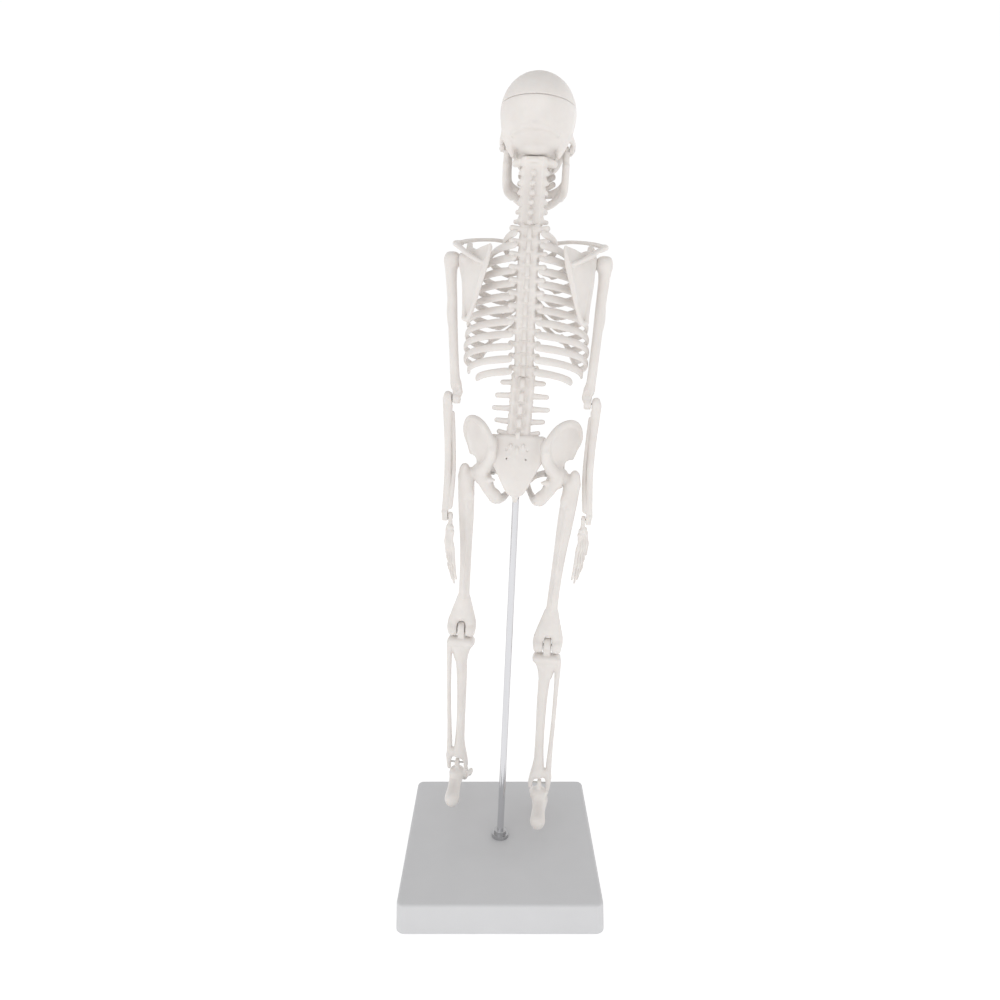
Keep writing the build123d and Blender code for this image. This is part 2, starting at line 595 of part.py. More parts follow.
# ---------------------------------------------------------------- arms
HEAD_RADIUS = 4.3
ELBOW_RADIUS = 3.1
WRIST_RADIUS = 2.1
LAP_GAP = 0.15
for side, out in SIDES.items():
    def lap(centre, radius, low, high, mode=Mode.ADD):
        """A disc along this side's x axis, measured outwards from the centre."""
        disc_x(centre, radius, out * low, out * high, mode)

    with BuildPart() as humerus:
        chain([(0, 0, 0), (out * 0.6, 0, -8), (-out * 0.3, 0, -36), (-out * 1.2, 0, -62)],
              [HEAD_RADIUS / BALL, 2.7, 2.2, 2.3])
        taper((-out * 1.2, 0, -62), (-out * 2.0, 0, -UPPER_ARM), 2.3, 2.6)
        lap((0, 0, -UPPER_ARM), ELBOW_RADIUS, -4.2, -LAP_GAP)
        with Locations((out * (20 - LAP_GAP), 0, -UPPER_ARM)):
            Box(40, 12, 9, mode=Mode.SUBTRACT)
        lap((0, 0, 0), SHOULDER_PIN + RUNNING, -6, 2.2, Mode.SUBTRACT)
        lap((0, 0, -UPPER_ARM), PIN, -4.2, 0, Mode.SUBTRACT)
    keep(humerus, f"humerus_{side}", UPPER_ARM_PLACE[side])

    with BuildPart() as elbow_pin:
        lap((0, 0, -UPPER_ARM), PIN, -4.2, 4.0)
    keep(elbow_pin, f"elbow_pin_{side}", UPPER_ARM_PLACE[side])

    with BuildPart() as forearm:
        lap((0, 0, 0), ELBOW_RADIUS + 0.1, LAP_GAP, 4.4)
        taper((out * 2.3, 0, 0), (out * 2.1, 0.6, -10), 2.0, 2.2)
        chain([(out * 2.1, 0.6, -9), (out * 1.2, 0.8, -34), (out * 1.6, 0, -FOREARM + 4)], [2.3, 1.6, 1.5])
        chain([(out * 0.4, -1.2, -8), (-out * 0.8, -0.8, -34), (out * 2.6, 0, -FOREARM + 5)], [1.6, 1.4, 2.1])
        lap((out * ARM_LAP, 0, -FOREARM), WRIST_RADIUS + 0.4, LAP_GAP, 3.0)
        taper((out * (ARM_LAP + 1.6), 0, -FOREARM), (out * 2.4, 0, -FOREARM + 5), 1.4, 2.0)
        with Locations((out * (ARM_LAP + LAP_GAP - 20), 0, -FOREARM)):
            Box(40, 10, 6.4, mode=Mode.SUBTRACT)
        with Locations((out * (LAP_GAP - 20), 0, 0)):
            Box(40, 12, 7.6, mode=Mode.SUBTRACT)
        lap((0, 0, 0), PIN + RUNNING, 0, 6, Mode.SUBTRACT)
        lap((out * ARM_LAP, 0, -FOREARM), PIN, 0, 4, Mode.SUBTRACT)
    keep(forearm, f"forearm_{side}", FOREARM_PLACE[side])

    with BuildPart() as wrist_pin:
        lap((0, 0, 0), PIN, -2.6, 3.0)
    keep(wrist_pin, f"wrist_pin_{side}", HAND_PLACE[side])

    with BuildPart() as hand:
        lap((0, 0, 0), WRIST_RADIUS, -2.4, -LAP_GAP)
        taper((-out * 1.3, 0, 0), (-out * 1.2, 0, -7), 1.1, 2.2)
        palm = Location((-out * 1.0, 0, 0)) * turned(rz=out * 35)
        with Locations(palm * Location((0, 0, -11.5))):
            Box(2.8, 9, 12)
        for number, reach in enumerate((33.0, 37.0, 39.0, 36.5)):
            y = (number - 1.5) * 2.4
            foot = palm * Location((0, y * 0.95, -16.0))
            tip = palm * Location((out * 0.6, y * 1.1, -reach))
            strut(tuple(foot.position), tuple(tip.position), 1.15, 0.85)
        thumb_root = palm * Location((0, -3.5, -8))
        thumb_tip = palm * Location((-out * 1.5, -8.0, -22))
        strut(tuple(thumb_root.position), tuple(thumb_tip.position), 1.5, 1.0)
        lap((0, 0, 0), PIN + RUNNING, -4, 0, Mode.SUBTRACT)
    keep(hand, f"hand_{side}", HAND_PLACE[side])


# ---------------------------------------------------------------- legs
FEMUR_HEAD = 5.3
CONDYLE_RADIUS = 4.9
CONDYLE_HALF = 8.2
TONGUE_RADIUS = 4.2
KNEE_SLOT = 5.0
KNEE_TONGUE = 4.4
ANKLE_RADIUS = 3.0
ANKLE_SLOT = 2.9
ANKLE_TAB = 2.4
ANKLE_HALF = 6.4
for side, out in SIDES.items():
    knee_seat = Location((out * KNEE_OUT, 0, -THIGH)) * turned(ry=-LEG_TILT[side])
    with BuildPart() as femur:
        facets([(0, 0, 0), (out * 7.4, 0.5, -2.0)], [3.4, 4.4])
        shaft = [(7.4, 0.5, -2.0), (6.6, 0.5, -16), (5.0, -0.8, -50), (KNEE_OUT, 0, -86)]
        facets([(out * x, y, z) for x, y, z in shaft], [4.8, 4.7, 3.5, 3.6])
        facets([(out * 7.6, 1.0, -3), (out * 9.4, 2.0, 1.6)], [3.6, 2.9])
        facets([(out * KNEE_OUT, 0, -86), (out * KNEE_OUT, 0, -THIGH + 2)], [3.6, 5.6])
        Sphere(FEMUR_HEAD)
        with Locations(knee_seat * ALONG_X):
            Cylinder(CONDYLE_RADIUS, 2 * CONDYLE_HALF)
        with Locations(knee_seat * Location((0, 0, -7.2))):
            Box(KNEE_SLOT, 14, 25, mode=Mode.SUBTRACT)
        with Locations(knee_seat * ALONG_X):
            Cylinder(KNEE_PIN, 30, mode=Mode.SUBTRACT)
        disc_x((0, 0, 0), HIP_PIN + RUNNING, -out * 8, out * 4.3, mode=Mode.SUBTRACT)
    keep(femur, f"femur_{side}", THIGH_PLACE[side])

    with BuildPart() as knee_pin:
        with Locations(knee_seat * ALONG_X):
            Cylinder(KNEE_PIN, 2 * CONDYLE_HALF)
    keep(knee_pin, f"knee_pin_{side}", THIGH_PLACE[side])

    with BuildPart() as shin:
        disc_x((0, 0, 0), TONGUE_RADIUS, -KNEE_TONGUE / 2, KNEE_TONGUE / 2)
        with Locations((0, 0, -5)):
            Box(KNEE_TONGUE, 5.6, 6)
        with BuildSketch(Plane.XY.offset(-12)) as shaft_top:
            Ellipse(4.0, 3.2)
        with BuildSketch(Plane.XY.offset(-7.6)) as plateau:
            Ellipse(8.2, 4.6)
        with BuildSketch(Plane.XY.offset(-5.8)) as plateau_top:
            Ellipse(8.2, 4.6)
        loft([shaft_top.sketch, plateau.sketch, plateau_top.sketch], ruled=True)
        chain([(0, 0, -11.5), (-out * 1.4, 0, -40), (-out * 0.6, 0, -SHIN + 6)], [3.7, 2.9, 3.0])
        chain([(out * 6.2, 0.8, -9.5), (out * 6.0, 1.0, -45), (out * 4.2, 0.5, -SHIN + 5)], [1.9, 1.25, 1.7])
        disc_x((0, 0, -SHIN), ANKLE_RADIUS, -ANKLE_HALF, ANKLE_HALF)
        with BuildSketch(Plane.XY.offset(-SHIN)) as ankle_low:
            Rectangle(2 * ANKLE_HALF, 5.2)
        with BuildSketch(Plane.XY.offset(-SHIN + 10)) as ankle_high:
            with Locations((out * 0.5, 0)):
                Rectangle(7.0, 4.4)
        loft([ankle_low.sketch, ankle_high.sketch])
        with Locations((0, 0, -SHIN - 1)):
            Box(ANKLE_SLOT, 9, 9.6, mode=Mode.SUBTRACT)
        disc_x((0, 0, 0), KNEE_PIN + RUNNING, -6, 6, mode=Mode.SUBTRACT)
        disc_x((0, 0, -SHIN), PIN, -ANKLE_HALF, ANKLE_HALF, mode=Mode.SUBTRACT)
    keep(shin, f"tibia_fibula_{side}", SHIN_PLACE[side])

    with BuildPart() as ankle_pin:
        disc_x((0, 0, -SHIN), PIN, -ANKLE_HALF, ANKLE_HALF)
    keep(ankle_pin, f"ankle_pin_{side}", SHIN_PLACE[side])

    with BuildPart() as foot:
        disc_x((0, 0, 0), 2.3, -ANKLE_TAB / 2, ANKLE_TAB / 2)
        with Locations((0, 0, -3)):
            Box(ANKLE_TAB, 3.4, 6)
        facets([(0, -0.5, -7.8), (0, -9, -14.5), (0, -15, -17.5)], [4.2, 4.2, 3.6])
        facets([(0, 0.5, -10), (0, 11.0, -18.0)], [3.6, 3.6])
        facets([(0, 10.0, -18.4), (out * 3.5, -13, -19.4)], [2.4, 2.2])
        for number in range(5):
            x = -out * (number - 1.8) * 2.9
            reach = 34.5 - 0.9 * abs(number - 1)
            facets([(-x * 0.45, -12, -17.8), (-x, -26.5, -21.8), (-x * 1.08, -reach, -23.2)], [2.0, 1.7, 1.4])
        disc_x((0, 0, 0), PIN + RUNNING, -6, 6, mode=Mode.SUBTRACT)
    keep(foot, f"foot_{side}", FOOT_PLACE[side])
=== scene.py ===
import json
import math

import bpy
import numpy as np
import openvdb
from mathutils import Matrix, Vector


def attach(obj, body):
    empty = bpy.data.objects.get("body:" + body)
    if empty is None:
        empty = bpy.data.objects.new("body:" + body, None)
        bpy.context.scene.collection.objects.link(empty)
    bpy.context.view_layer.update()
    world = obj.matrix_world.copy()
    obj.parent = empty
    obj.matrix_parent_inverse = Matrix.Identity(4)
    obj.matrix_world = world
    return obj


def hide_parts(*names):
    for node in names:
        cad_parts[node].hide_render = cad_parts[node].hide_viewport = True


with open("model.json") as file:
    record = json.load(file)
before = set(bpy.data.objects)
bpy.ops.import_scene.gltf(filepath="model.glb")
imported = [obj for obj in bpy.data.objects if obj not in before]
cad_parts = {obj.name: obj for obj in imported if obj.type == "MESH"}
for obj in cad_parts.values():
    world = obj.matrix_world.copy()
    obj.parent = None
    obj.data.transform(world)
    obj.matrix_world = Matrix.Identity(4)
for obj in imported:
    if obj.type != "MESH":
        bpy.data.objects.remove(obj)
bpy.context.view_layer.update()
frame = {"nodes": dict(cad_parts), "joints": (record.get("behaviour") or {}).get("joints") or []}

MM = 0.001
SIDES = {"left": 1, "right": -1}
COARSE = 1.0


# ---------------------------------------------------------------- places
# Every bone is shaped in millimetres in its own frame, and a place carries it to the row frame.
JOINTS = {joint["name"]: joint for joint in frame["joints"]}


def joint_point(name):
    """Where a joint is at rest, in millimetres."""
    return np.array(JOINTS[name]["pos_m"]) / MM


def joint_axis(name):
    """A joint's direction."""
    axis = np.array(JOINTS[name]["axis"], float)
    return axis / np.linalg.norm(axis)


def unit(vector):
    """A vector's direction."""
    return np.asarray(vector, float) / np.linalg.norm(vector)


class Place:
    """An origin and three directions: x to the skeleton's left, y to its back, z up."""

    def __init__(self, origin, x, z):
        x = unit(x)
        z = unit(z - x * z.dot(x))
        self.origin = np.array(origin, float)
        self.turn = np.stack([x, np.cross(z, x), z], axis=1)

    def to_row(self, points):
        """Points of this frame, in the row frame."""
        return np.asarray(points, float) @ self.turn.T + self.origin

    def from_row(self, point):
        """A point of the row frame, in this frame."""
        return (np.asarray(point, float) - self.origin) @ self.turn

    def tipped(self, degrees):
        """This frame turned about its own x."""
        c, s = math.cos(math.radians(degrees)), math.sin(math.radians(degrees))
        return Place(self.origin, self.turn[:, 0], self.turn @ np.array([0, -s, c]))


ROD_PIVOT = 200.0
rod_axis = joint_axis("trunk_turn")
shoulder_run = joint_point("shoulder_swing_left") - joint_point("shoulder_swing_right")
TRUNK = Place(joint_point("trunk_turn") - ROD_PIVOT * rod_axis, shoulder_run, rod_axis)
SKULL = Place(joint_point("skull_turn"), joint_axis("jaw_open"), joint_axis("cap_lift"))


def limb(joint, next_joint):
    """A limb segment's frame: its joint's axis across, and the next joint below."""
    across = joint_axis(joint)
    across = across if across.dot(TRUNK.turn[:, 0]) > 0 else -across
    return Place(joint_point(joint), across, joint_point(joint) - joint_point(next_joint))


FOOT_DROOP = 3.0
PLACES = {}
for side in SIDES:
    PLACES["upper_arm_" + side] = limb("shoulder_swing_" + side, "elbow_bend_" + side)
    PLACES["forearm_" + side] = limb("elbow_bend_" + side, "wrist_bend_" + side)
    PLACES["hand_" + side] = Place(
        joint_point("wrist_bend_" + side), PLACES["forearm_" + side].turn[:, 0],
        PLACES["forearm_" + side].turn[:, 2]
    )
    PLACES["thigh_" + side] = limb("hip_swing_" + side, "knee_bend_" + side)
    PLACES["shin_" + side] = limb("knee_bend_" + side, "ankle_bend_" + side)
    shin = PLACES["shin_" + side]
    PLACES["foot_" + side] = Place(joint_point("ankle_bend_" + side), shin.turn[:, 0],
                                   shin.turn[:, 2]).tipped(FOOT_DROOP)


# ---------------------------------------------------------------- clay
FAR = 4.0


def smooth_line(points, steps=8, closed=False):
    """More points on a smooth curve through the given ones."""
    p = np.array(points, float)
    if closed:
        p = np.concatenate([p[-1:], p, p[:2]])
    else:
        p = np.concatenate([2 * p[:1] - p[1:2], p, 2 * p[-1:] - p[-2:-1]])
    t = np.arange(steps)[:, None] / steps
    out = []
    for a, b, c, d in zip(p, p[1:], p[2:], p[3:]):
        square, cube = 2 * a - 5 * b + 4 * c - d, 3 * b - a - 3 * c + d
        out.append(0.5 * (2 * b + (c - a) * t + square * t**2 + cube * t**3))
    if not closed:
        out.append(p[-2:-1])
    return np.concatenate(out)


def turn_matrix(rx=0.0, ry=0.0, rz=0.0):
    """Turns about x, then y, then z, in degrees."""
    m = np.eye(3)
    for axis, degrees in ((0, rx), (1, ry), (2, rz)):
        c, s = math.cos(math.radians(degrees)), math.sin(math.radians(degrees))
        one = np.eye(3)
        i, j = (axis + 1) % 3, (axis + 2) % 3
        one[i, i] = one[j, j] = c
        one[i, j], one[j, i] = -s, s
        m = one @ m
    return m


class Clay:
    """A solid as distances on a grid, in millimetres: below nought is inside."""

    def __init__(self, low, high, pitch):
        self.pitch = pitch * COARSE
        self.low = np.array(low, float)
        count = np.ceil((np.array(high, float) - self.low) / self.pitch).astype(int) + 1
        self.axes = [(self.low[i] + self.pitch * np.arange(count[i])).astype(np.float32) for i in range(3)]
        self.field = np.full(count, FAR, np.float32)

    def window(self, low, high):
        """The part of the grid between two corners: its slices and its coordinates."""
        cut = []
        for i in range(3):
            first = int((low[i] - self.low[i]) / self.pitch) - 1
            last = int((high[i] - self.low[i]) / self.pitch) + 2
            cut.append(slice(max(first, 0), max(min(last, len(self.axes[i])), 0)))
        x, y, z = (axis[piece] for axis, piece in zip(self.axes, cut))
        return tuple(cut), x[:, None, None], y[None, :, None], z[None, None, :]

    def mix(self, cut, distance, soft, dig):
        """Join distances to the solid, or dig them out of it, with a soft seam."""
        old = self.field[cut]
        new = -distance if dig else distance
        seam = np.maximum(soft - np.abs(old - new), 0) / max(soft, 1e-6)
        seam = seam * seam * soft / 4
        self.field[cut] = np.maximum(old, new) + seam if dig else np.minimum(old, new) - seam

    def bar(self, points, radii, soft=0.8, flat=None, dig=False):
        """A round bar along points; flat is (direction, share) to press it thinner one way."""
        points = np.array(points, float)
        radii = np.broadcast_to(np.array(radii, float), (len(points),))
        reach = radii.max() + soft + 1.5
        cut, x, y, z = self.window(points.min(0) - reach, points.max(0) + reach)
        total = np.full(self.field[cut].shape, FAR, np.float32)
        offset = [piece.start for piece in cut]
        for a, b, ra, rb in zip(points, points[1:], radii, radii[1:]):
            part, x, y, z = self.window(np.minimum(a, b) - reach, np.maximum(a, b) + reach)
            run = b - a
            size = float(run.dot(run)) + 1e-9
            x, y, z = x - a[0], y - a[1], z - a[2]
            t = np.clip((x * run[0] + y * run[1] + z * run[2]) / size, 0, 1)
            x, y, z = x - t * run[0], y - t * run[1], z - t * run[2]
            square = x * x + y * y + z * z
            if flat:
                across, share = flat
                along = x * across[0] + y * across[1] + z * across[2]
                square = square + along * along * (1 / share**2 - 1)
            distance = np.sqrt(square) - (ra + t * (rb - ra))
            if flat:
                distance = distance * share**0.5
            inner = tuple(slice(p.start - o, p.stop - o) for p, o in zip(part, offset))
            total[inner] = np.minimum(total[inner], distance)
        self.mix(cut, total, soft, dig)

    def curve(self, points, radii, soft=0.8, flat=None, dig=False, steps=6):
        """A bar along a smooth curve through the points."""
        table = np.column_stack([np.array(points, float),
                                 np.broadcast_to(np.array(radii, float), (len(points),))])
        table = smooth_line(table, steps)
        self.bar(table[:, :3], np.maximum(table[:, 3], 0.2), soft, flat, dig)

    def egg(self, centre, radii, soft=0.8, turn=None, dig=False):
        """An ellipsoid, turned about its centre."""
        radii = np.array(radii, float)
        reach = radii.max() + soft + 1
        turn = np.eye(3) if turn is None else turn
        span = np.sqrt((turn**2) @ (radii**2)) + soft + 1
        cut, x, y, z = self.window(np.array(centre) - span, np.array(centre) + span)
        x, y, z = x - centre[0], y - centre[1], z - centre[2]
        q = [turn[0, i] * x + turn[1, i] * y + turn[2, i] * z for i in range(3)]
        near = np.sqrt(sum((c / r) ** 2 for c, r in zip(q, radii)))
        slope = np.sqrt(sum((c / r**2) ** 2 for c, r in zip(q, radii)))
        distance = np.clip(near * (near - 1) / np.maximum(slope, 1e-6), -reach, reach)
        self.mix(cut, distance.astype(np.float32), soft, dig)

    def block(self, centre, half, edge=0.5, soft=0.6, turn=None, dig=False):
        """A box with rounded edges."""
        half = np.array(half, float)
        turn = np.eye(3) if turn is None else turn
        span = np.abs(turn) @ half + soft + 1
        cut, x, y, z = self.window(np.array(centre) - span, np.array(centre) + span)
        x, y, z = x - centre[0], y - centre[1], z - centre[2]
        q = [np.abs(turn[0, i] * x + turn[1, i] * y + turn[2, i] * z) - (half[i] - edge) for i in range(3)]
        outside = np.sqrt(sum(np.maximum(c, 0) ** 2 for c in q))
        inside = np.minimum(np.maximum(np.maximum(q[0], q[1]), q[2]), 0)
        self.mix(cut, outside + inside - edge, soft, dig)

    def drum(self, centre, axis, radius, half, edge=0.3, soft=0.4, dig=False):
        """A disc, shaft or hole about an axis."""
        axis = unit(axis)
        span = np.abs(axis) * half + np.sqrt(1 - axis**2) * radius + soft + 1
        cut, x, y, z = self.window(np.array(centre) - span, np.array(centre) + span)
        x, y, z = x - centre[0], y - centre[1], z - centre[2]
        along = x * axis[0] + y * axis[1] + z * axis[2]
        away = np.sqrt(np.maximum(x * x + y * y + z * z - along * along, 0))
        a, b = away - (radius - edge), np.abs(along) - (half - edge)
        outside = np.sqrt(np.maximum(a, 0) ** 2 + np.maximum(b, 0) ** 2)
        self.mix(cut, outside + np.minimum(np.maximum(a, b), 0) - edge, soft, dig)

    def plate(self, outline, origin, across, up, thick, soft=0.8, bow=None, rim=0.0, dig=False, edge=0.5):
        """A thin plate: an outline in the plane of across and up, bowed by bow(u, v),
        thicker by rim at its edge."""
        across, up = unit(across), unit(up)
        up = unit(up - across * up.dot(across))
        normal = np.cross(across, up)
        origin = np.array(origin, float)
        corners = origin + outline[:, :1] * across + outline[:, 1:] * up
        lift = 0.0
        if bow:
            lift = np.abs(bow(outline[:, 0], outline[:, 1])).max() + 2.0
        reach = thick + rim + soft + 1 + lift * np.abs(normal)
        cut, x, y, z = self.window(corners.min(0) - reach, corners.max(0) + reach)
        x, y, z = x - origin[0], y - origin[1], z - origin[2]
        u = x * across[0] + y * across[1] + z * across[2]
        v = x * up[0] + y * up[1] + z * up[2]
        n = x * normal[0] + y * normal[1] + z * normal[2]
        if bow:
            n = n - bow(u, v)
        near = np.full(u.shape, 1e6, np.float32)
        inside = np.zeros(u.shape, bool)
        for (ax, ay), (bx, by) in zip(outline, np.roll(outline, -1, axis=0)):
            ex, ey = bx - ax, by - ay
            t = np.clip(((u - ax) * ex + (v - ay) * ey) / (ex * ex + ey * ey + 1e-9), 0, 1)
            near = np.minimum(near, (u - ax - t * ex) ** 2 + (v - ay - t * ey) ** 2)
            crosses = ((ay > v) != (by > v)) & (u < (bx - ax) * (v - ay) / (by - ay + 1e-12) + ax)
            inside ^= crosses
        side = np.sqrt(near)
        side = np.where(inside, -side, side)
        half = thick + rim * np.exp(-((side / 1.6) ** 2)) if rim else thick
        a, b = side + edge, np.abs(n) - half + edge
        outside = np.sqrt(np.maximum(a, 0) ** 2 + np.maximum(b, 0) ** 2)
        self.mix(cut, outside + np.minimum(np.maximum(a, b), 0) - edge, soft, dig)

    def sheet(self, points, thick, soft=0.8, bow=None, rim=0.0, edge=0.5, steps=5, hint=(0, 1, 0)):
        """A thin plate whose smooth outline passes near points in space; bow and hint face one way."""
        points = np.array(points, float)
        middle = points.mean(0)
        across, up = np.linalg.svd(points - middle)[2][:2]
        if np.cross(across, up).dot(hint) < 0:
            up = -up
        flat = np.column_stack([(points - middle) @ across, (points - middle) @ up])
        self.plate(smooth_line(flat, steps, True), middle, across, up, thick, soft, bow, rim, edge=edge)

    def keep_side(self, point, normal, edge=0.2):
        """Cut away what lies beyond a plane, on the side that its normal points to."""
        x, y, z = self.axes[0][:, None, None], self.axes[1][None, :, None], self.axes[2][None, None, :]
        normal = unit(normal)
        distance = (x - point[0]) * normal[0] + (y - point[1]) * normal[1] + (z - point[2]) * normal[2]
        seam = np.maximum(edge - np.abs(self.field - distance), 0) / max(edge, 1e-6)
        self.field = (np.maximum(self.field, distance) + seam * seam * edge / 4).astype(np.float32)

    def ripple(self, size, depth, seed):
        """The slight unevenness of a moulding: soft waves in every direction."""
        draw = np.random.default_rng(seed)
        x, y, z = self.axes[0][:, None, None], self.axes[1][None, :, None], self.axes[2][None, None, :]
        wave = 0
        for _ in range(5):
            kx, ky, kz = draw.normal(0, 1, 3) * 2.2 / size
            wave = wave + np.sin(x * kx + y * ky + z * kz + draw.uniform(0, 6.3))
        self.field = (self.field + wave * (depth / 5)).astype(np.float32)

    def piece(self, name, place, body, nodes, material):
        """Skin the solid, set it in its place and let it ride on a body in place of CAD nodes."""
        border = np.ones(self.field.shape, bool)
        border[1:-1, 1:-1, 1:-1] = False
        self.field[border] = np.maximum(self.field[border], self.pitch * 0.5)
        grid = openvdb.FloatGrid(FAR)
        grid.copyFromArray(np.clip(self.field, -FAR, FAR).astype(np.float32))
        points, quads = grid.convertToQuads(0.0)
        points = place.to_row(points.astype(float) * self.pitch + self.low) * MM
        return add_mesh(name, points, quads, body, nodes, material)


def add_mesh(name, points, quads, body, nodes, material):
    """A new piece from points and four-sided faces."""
    mesh = bpy.data.meshes.new(name)
    mesh.vertices.add(len(points))
    mesh.vertices.foreach_set("co", points.astype(np.float32).ravel())
    mesh.loops.add(4 * len(quads))
    mesh.loops.foreach_set("vertex_index", quads[:, ::-1].astype(np.int32).ravel())
    mesh.polygons.add(len(quads))
    mesh.polygons.foreach_set("loop_start", np.arange(0, 4 * len(quads), 4, dtype=np.int32))
    mesh.update(calc_edges=True)
    mesh.validate()
    mesh.shade_smooth()
    mesh.materials.append(material)
    piece = bpy.data.objects.new(name, mesh)
    bpy.context.scene.collection.objects.link(piece)
    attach(piece, body)
    if nodes:
        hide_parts(*nodes)
    return piece


# ---------------------------------------------------------------- materials
def node_tree(material):
    """A material's nodes, links and main shader."""
    material.use_nodes = True
    nodes = material.node_tree.nodes
    return nodes, material.node_tree.links, nodes["Principled BSDF"]


def new_node(nodes, kind, **inputs):
    """A node with plain values on its inputs."""
    node = nodes.new(kind)
    for name, value in inputs.items():
        node.inputs[name.replace("_", " ")].default_value = value
    return node


def moulding_group():
    """Shared unevenness of a moulded surface: a broad tone, a fine grain and small pits."""
    group = bpy.data.node_groups.new("moulded_surface", "ShaderNodeTree")
    for name, kind, value in (("Tone Size", "NodeSocketFloat", 60.0),
                              ("Grain Size", "NodeSocketFloat", 900.0)):
        socket = group.interface.new_socket(name=name, in_out="INPUT", socket_type=kind)
        socket.default_value = value
    for name in ("Tone", "Grain", "Height"):
        group.interface.new_socket(name=name, in_out="OUTPUT", socket_type="NodeSocketFloat")
    nodes, links = group.nodes, group.links
    source = nodes.new("NodeGroupInput")
    result = nodes.new("NodeGroupOutput")
    place = nodes.new("ShaderNodeTexCoord")
    tone = new_node(nodes, "ShaderNodeTexNoise", Detail=3.0, Roughness=0.55)
    grain = new_node(nodes, "ShaderNodeTexNoise", Detail=2.0, Roughness=0.6)
    pits = new_node(nodes, "ShaderNodeTexNoise", Detail=4.0, Roughness=0.65)
    links.new(place.outputs["Object"], tone.inputs["Vector"])
    links.new(place.outputs["Object"], grain.inputs["Vector"])
    links.new(place.outputs["Object"], pits.inputs["Vector"])
    links.new(source.outputs["Tone Size"], tone.inputs["Scale"])
    links.new(source.outputs["Grain Size"], grain.inputs["Scale"])
    middle = nodes.new("ShaderNodeMath")
    middle.operation = "MULTIPLY"
    middle.inputs[1].default_value = 0.35
    links.new(source.outputs["Grain Size"], middle.inputs[0])
    links.new(middle.outputs[0], pits.inputs["Scale"])
    height = nodes.new("ShaderNodeMath")
    height.operation = "MULTIPLY_ADD"
    height.inputs[1].default_value = 0.35
    links.new(grain.outputs["Fac"], height.inputs[0])
    links.new(pits.outputs["Fac"], height.inputs[2])
    links.new(tone.outputs["Fac"], result.inputs["Tone"])
    links.new(grain.outputs["Fac"], result.inputs["Grain"])
    links.new(height.outputs[0], result.inputs["Height"])
    return group


MOULDED = moulding_group()


def moulded(name, light, dark, rough, bump, tone_size=60.0, grain_size=900.0, subsurface=0.0,
            relief=0.00012):
    """Moulded plastic: two tones a shade apart, broken gloss and a fine skin."""
    material = bpy.data.materials.new(name)
    nodes, links, shader = node_tree(material)
    surface = nodes.new("ShaderNodeGroup")
    surface.node_tree = MOULDED
    surface.inputs["Tone Size"].default_value = tone_size
    surface.inputs["Grain Size"].default_value = grain_size
    ramp = nodes.new("ShaderNodeValToRGB")
    ramp.color_ramp.elements[0].position = 0.3
    ramp.color_ramp.elements[0].color = (*dark, 1)
    ramp.color_ramp.elements[1].position = 0.7
    ramp.color_ramp.elements[1].color = (*light, 1)
    links.new(surface.outputs["Tone"], ramp.inputs["Fac"])
    links.new(ramp.outputs["Color"], shader.inputs["Base Color"])
    gloss = nodes.new("ShaderNodeMapRange")
    gloss.inputs["To Min"].default_value = rough - 0.07
    gloss.inputs["To Max"].default_value = rough + 0.09
    links.new(surface.outputs["Grain"], gloss.inputs["Value"])
    links.new(gloss.outputs["Result"], shader.inputs["Roughness"])
    raised = nodes.new("ShaderNodeBump")
    raised.inputs["Strength"].default_value = bump
    raised.inputs["Distance"].default_value = relief
    links.new(surface.outputs["Height"], raised.inputs["Height"])
    links.new(raised.outputs["Normal"], shader.inputs["Normal"])
    if subsurface:
        shader.inputs["Subsurface Weight"].default_value = subsurface
        shader.inputs["Subsurface Radius"].default_value = (0.002, 0.0014, 0.001)
    return material


def metal(name, colour, rough, streak, size):
    """Bright metal with faint drawn or turned lines."""
    material = bpy.data.materials.new(name)
    nodes, links, shader = node_tree(material)
    shader.inputs["Metallic"].default_value = 1.0
    place = nodes.new("ShaderNodeTexCoord")
    spread = nodes.new("ShaderNodeMapping")
    spread.inputs["Scale"].default_value = size
    lines = new_node(nodes, "ShaderNodeTexNoise", Scale=1.0, Detail=3.0)
    links.new(place.outputs["Object"], spread.inputs["Vector"])
    links.new(spread.outputs["Vector"], lines.inputs["Vector"])
    tone = nodes.new("ShaderNodeValToRGB")
    tone.color_ramp.elements[0].color = (*[c * 0.88 for c in colour], 1)
    tone.color_ramp.elements[1].color = (*colour, 1)
    links.new(lines.outputs["Fac"], tone.inputs["Fac"])
    links.new(tone.outputs["Color"], shader.inputs["Base Color"])
    gloss = nodes.new("ShaderNodeMapRange")
    gloss.inputs["To Min"].default_value = rough
    gloss.inputs["To Max"].default_value = rough + streak
    links.new(lines.outputs["Fac"], gloss.inputs["Value"])
    links.new(gloss.outputs["Result"], shader.inputs["Roughness"])
    return material


BONE = moulded("bone_plastic", (0.80, 0.765, 0.735), (0.745, 0.705, 0.675), 0.42, 0.35, 70.0, 1100.0, 0.10)
BASE = moulded("base_plastic", (0.66, 0.66, 0.67), (0.63, 0.63, 0.64), 0.5, 0.30, 25.0, 1600.0)
RUBBER = moulded("foot_rubber", (0.035, 0.035, 0.035), (0.02, 0.02, 0.02), 0.8, 0.5, 90.0, 1500.0)
CHROME = metal("chrome_rod", (0.72, 0.72, 0.74), 0.06, 0.06, (300.0, 300.0, 6.0))
STEEL = metal("plated_steel", (0.58, 0.58, 0.59), 0.22, 0.16, (40.0, 40.0, 2500.0))
WIRE = metal("pin_steel", (0.60, 0.59, 0.57), 0.28, 0.14, (2500.0, 60.0, 60.0))

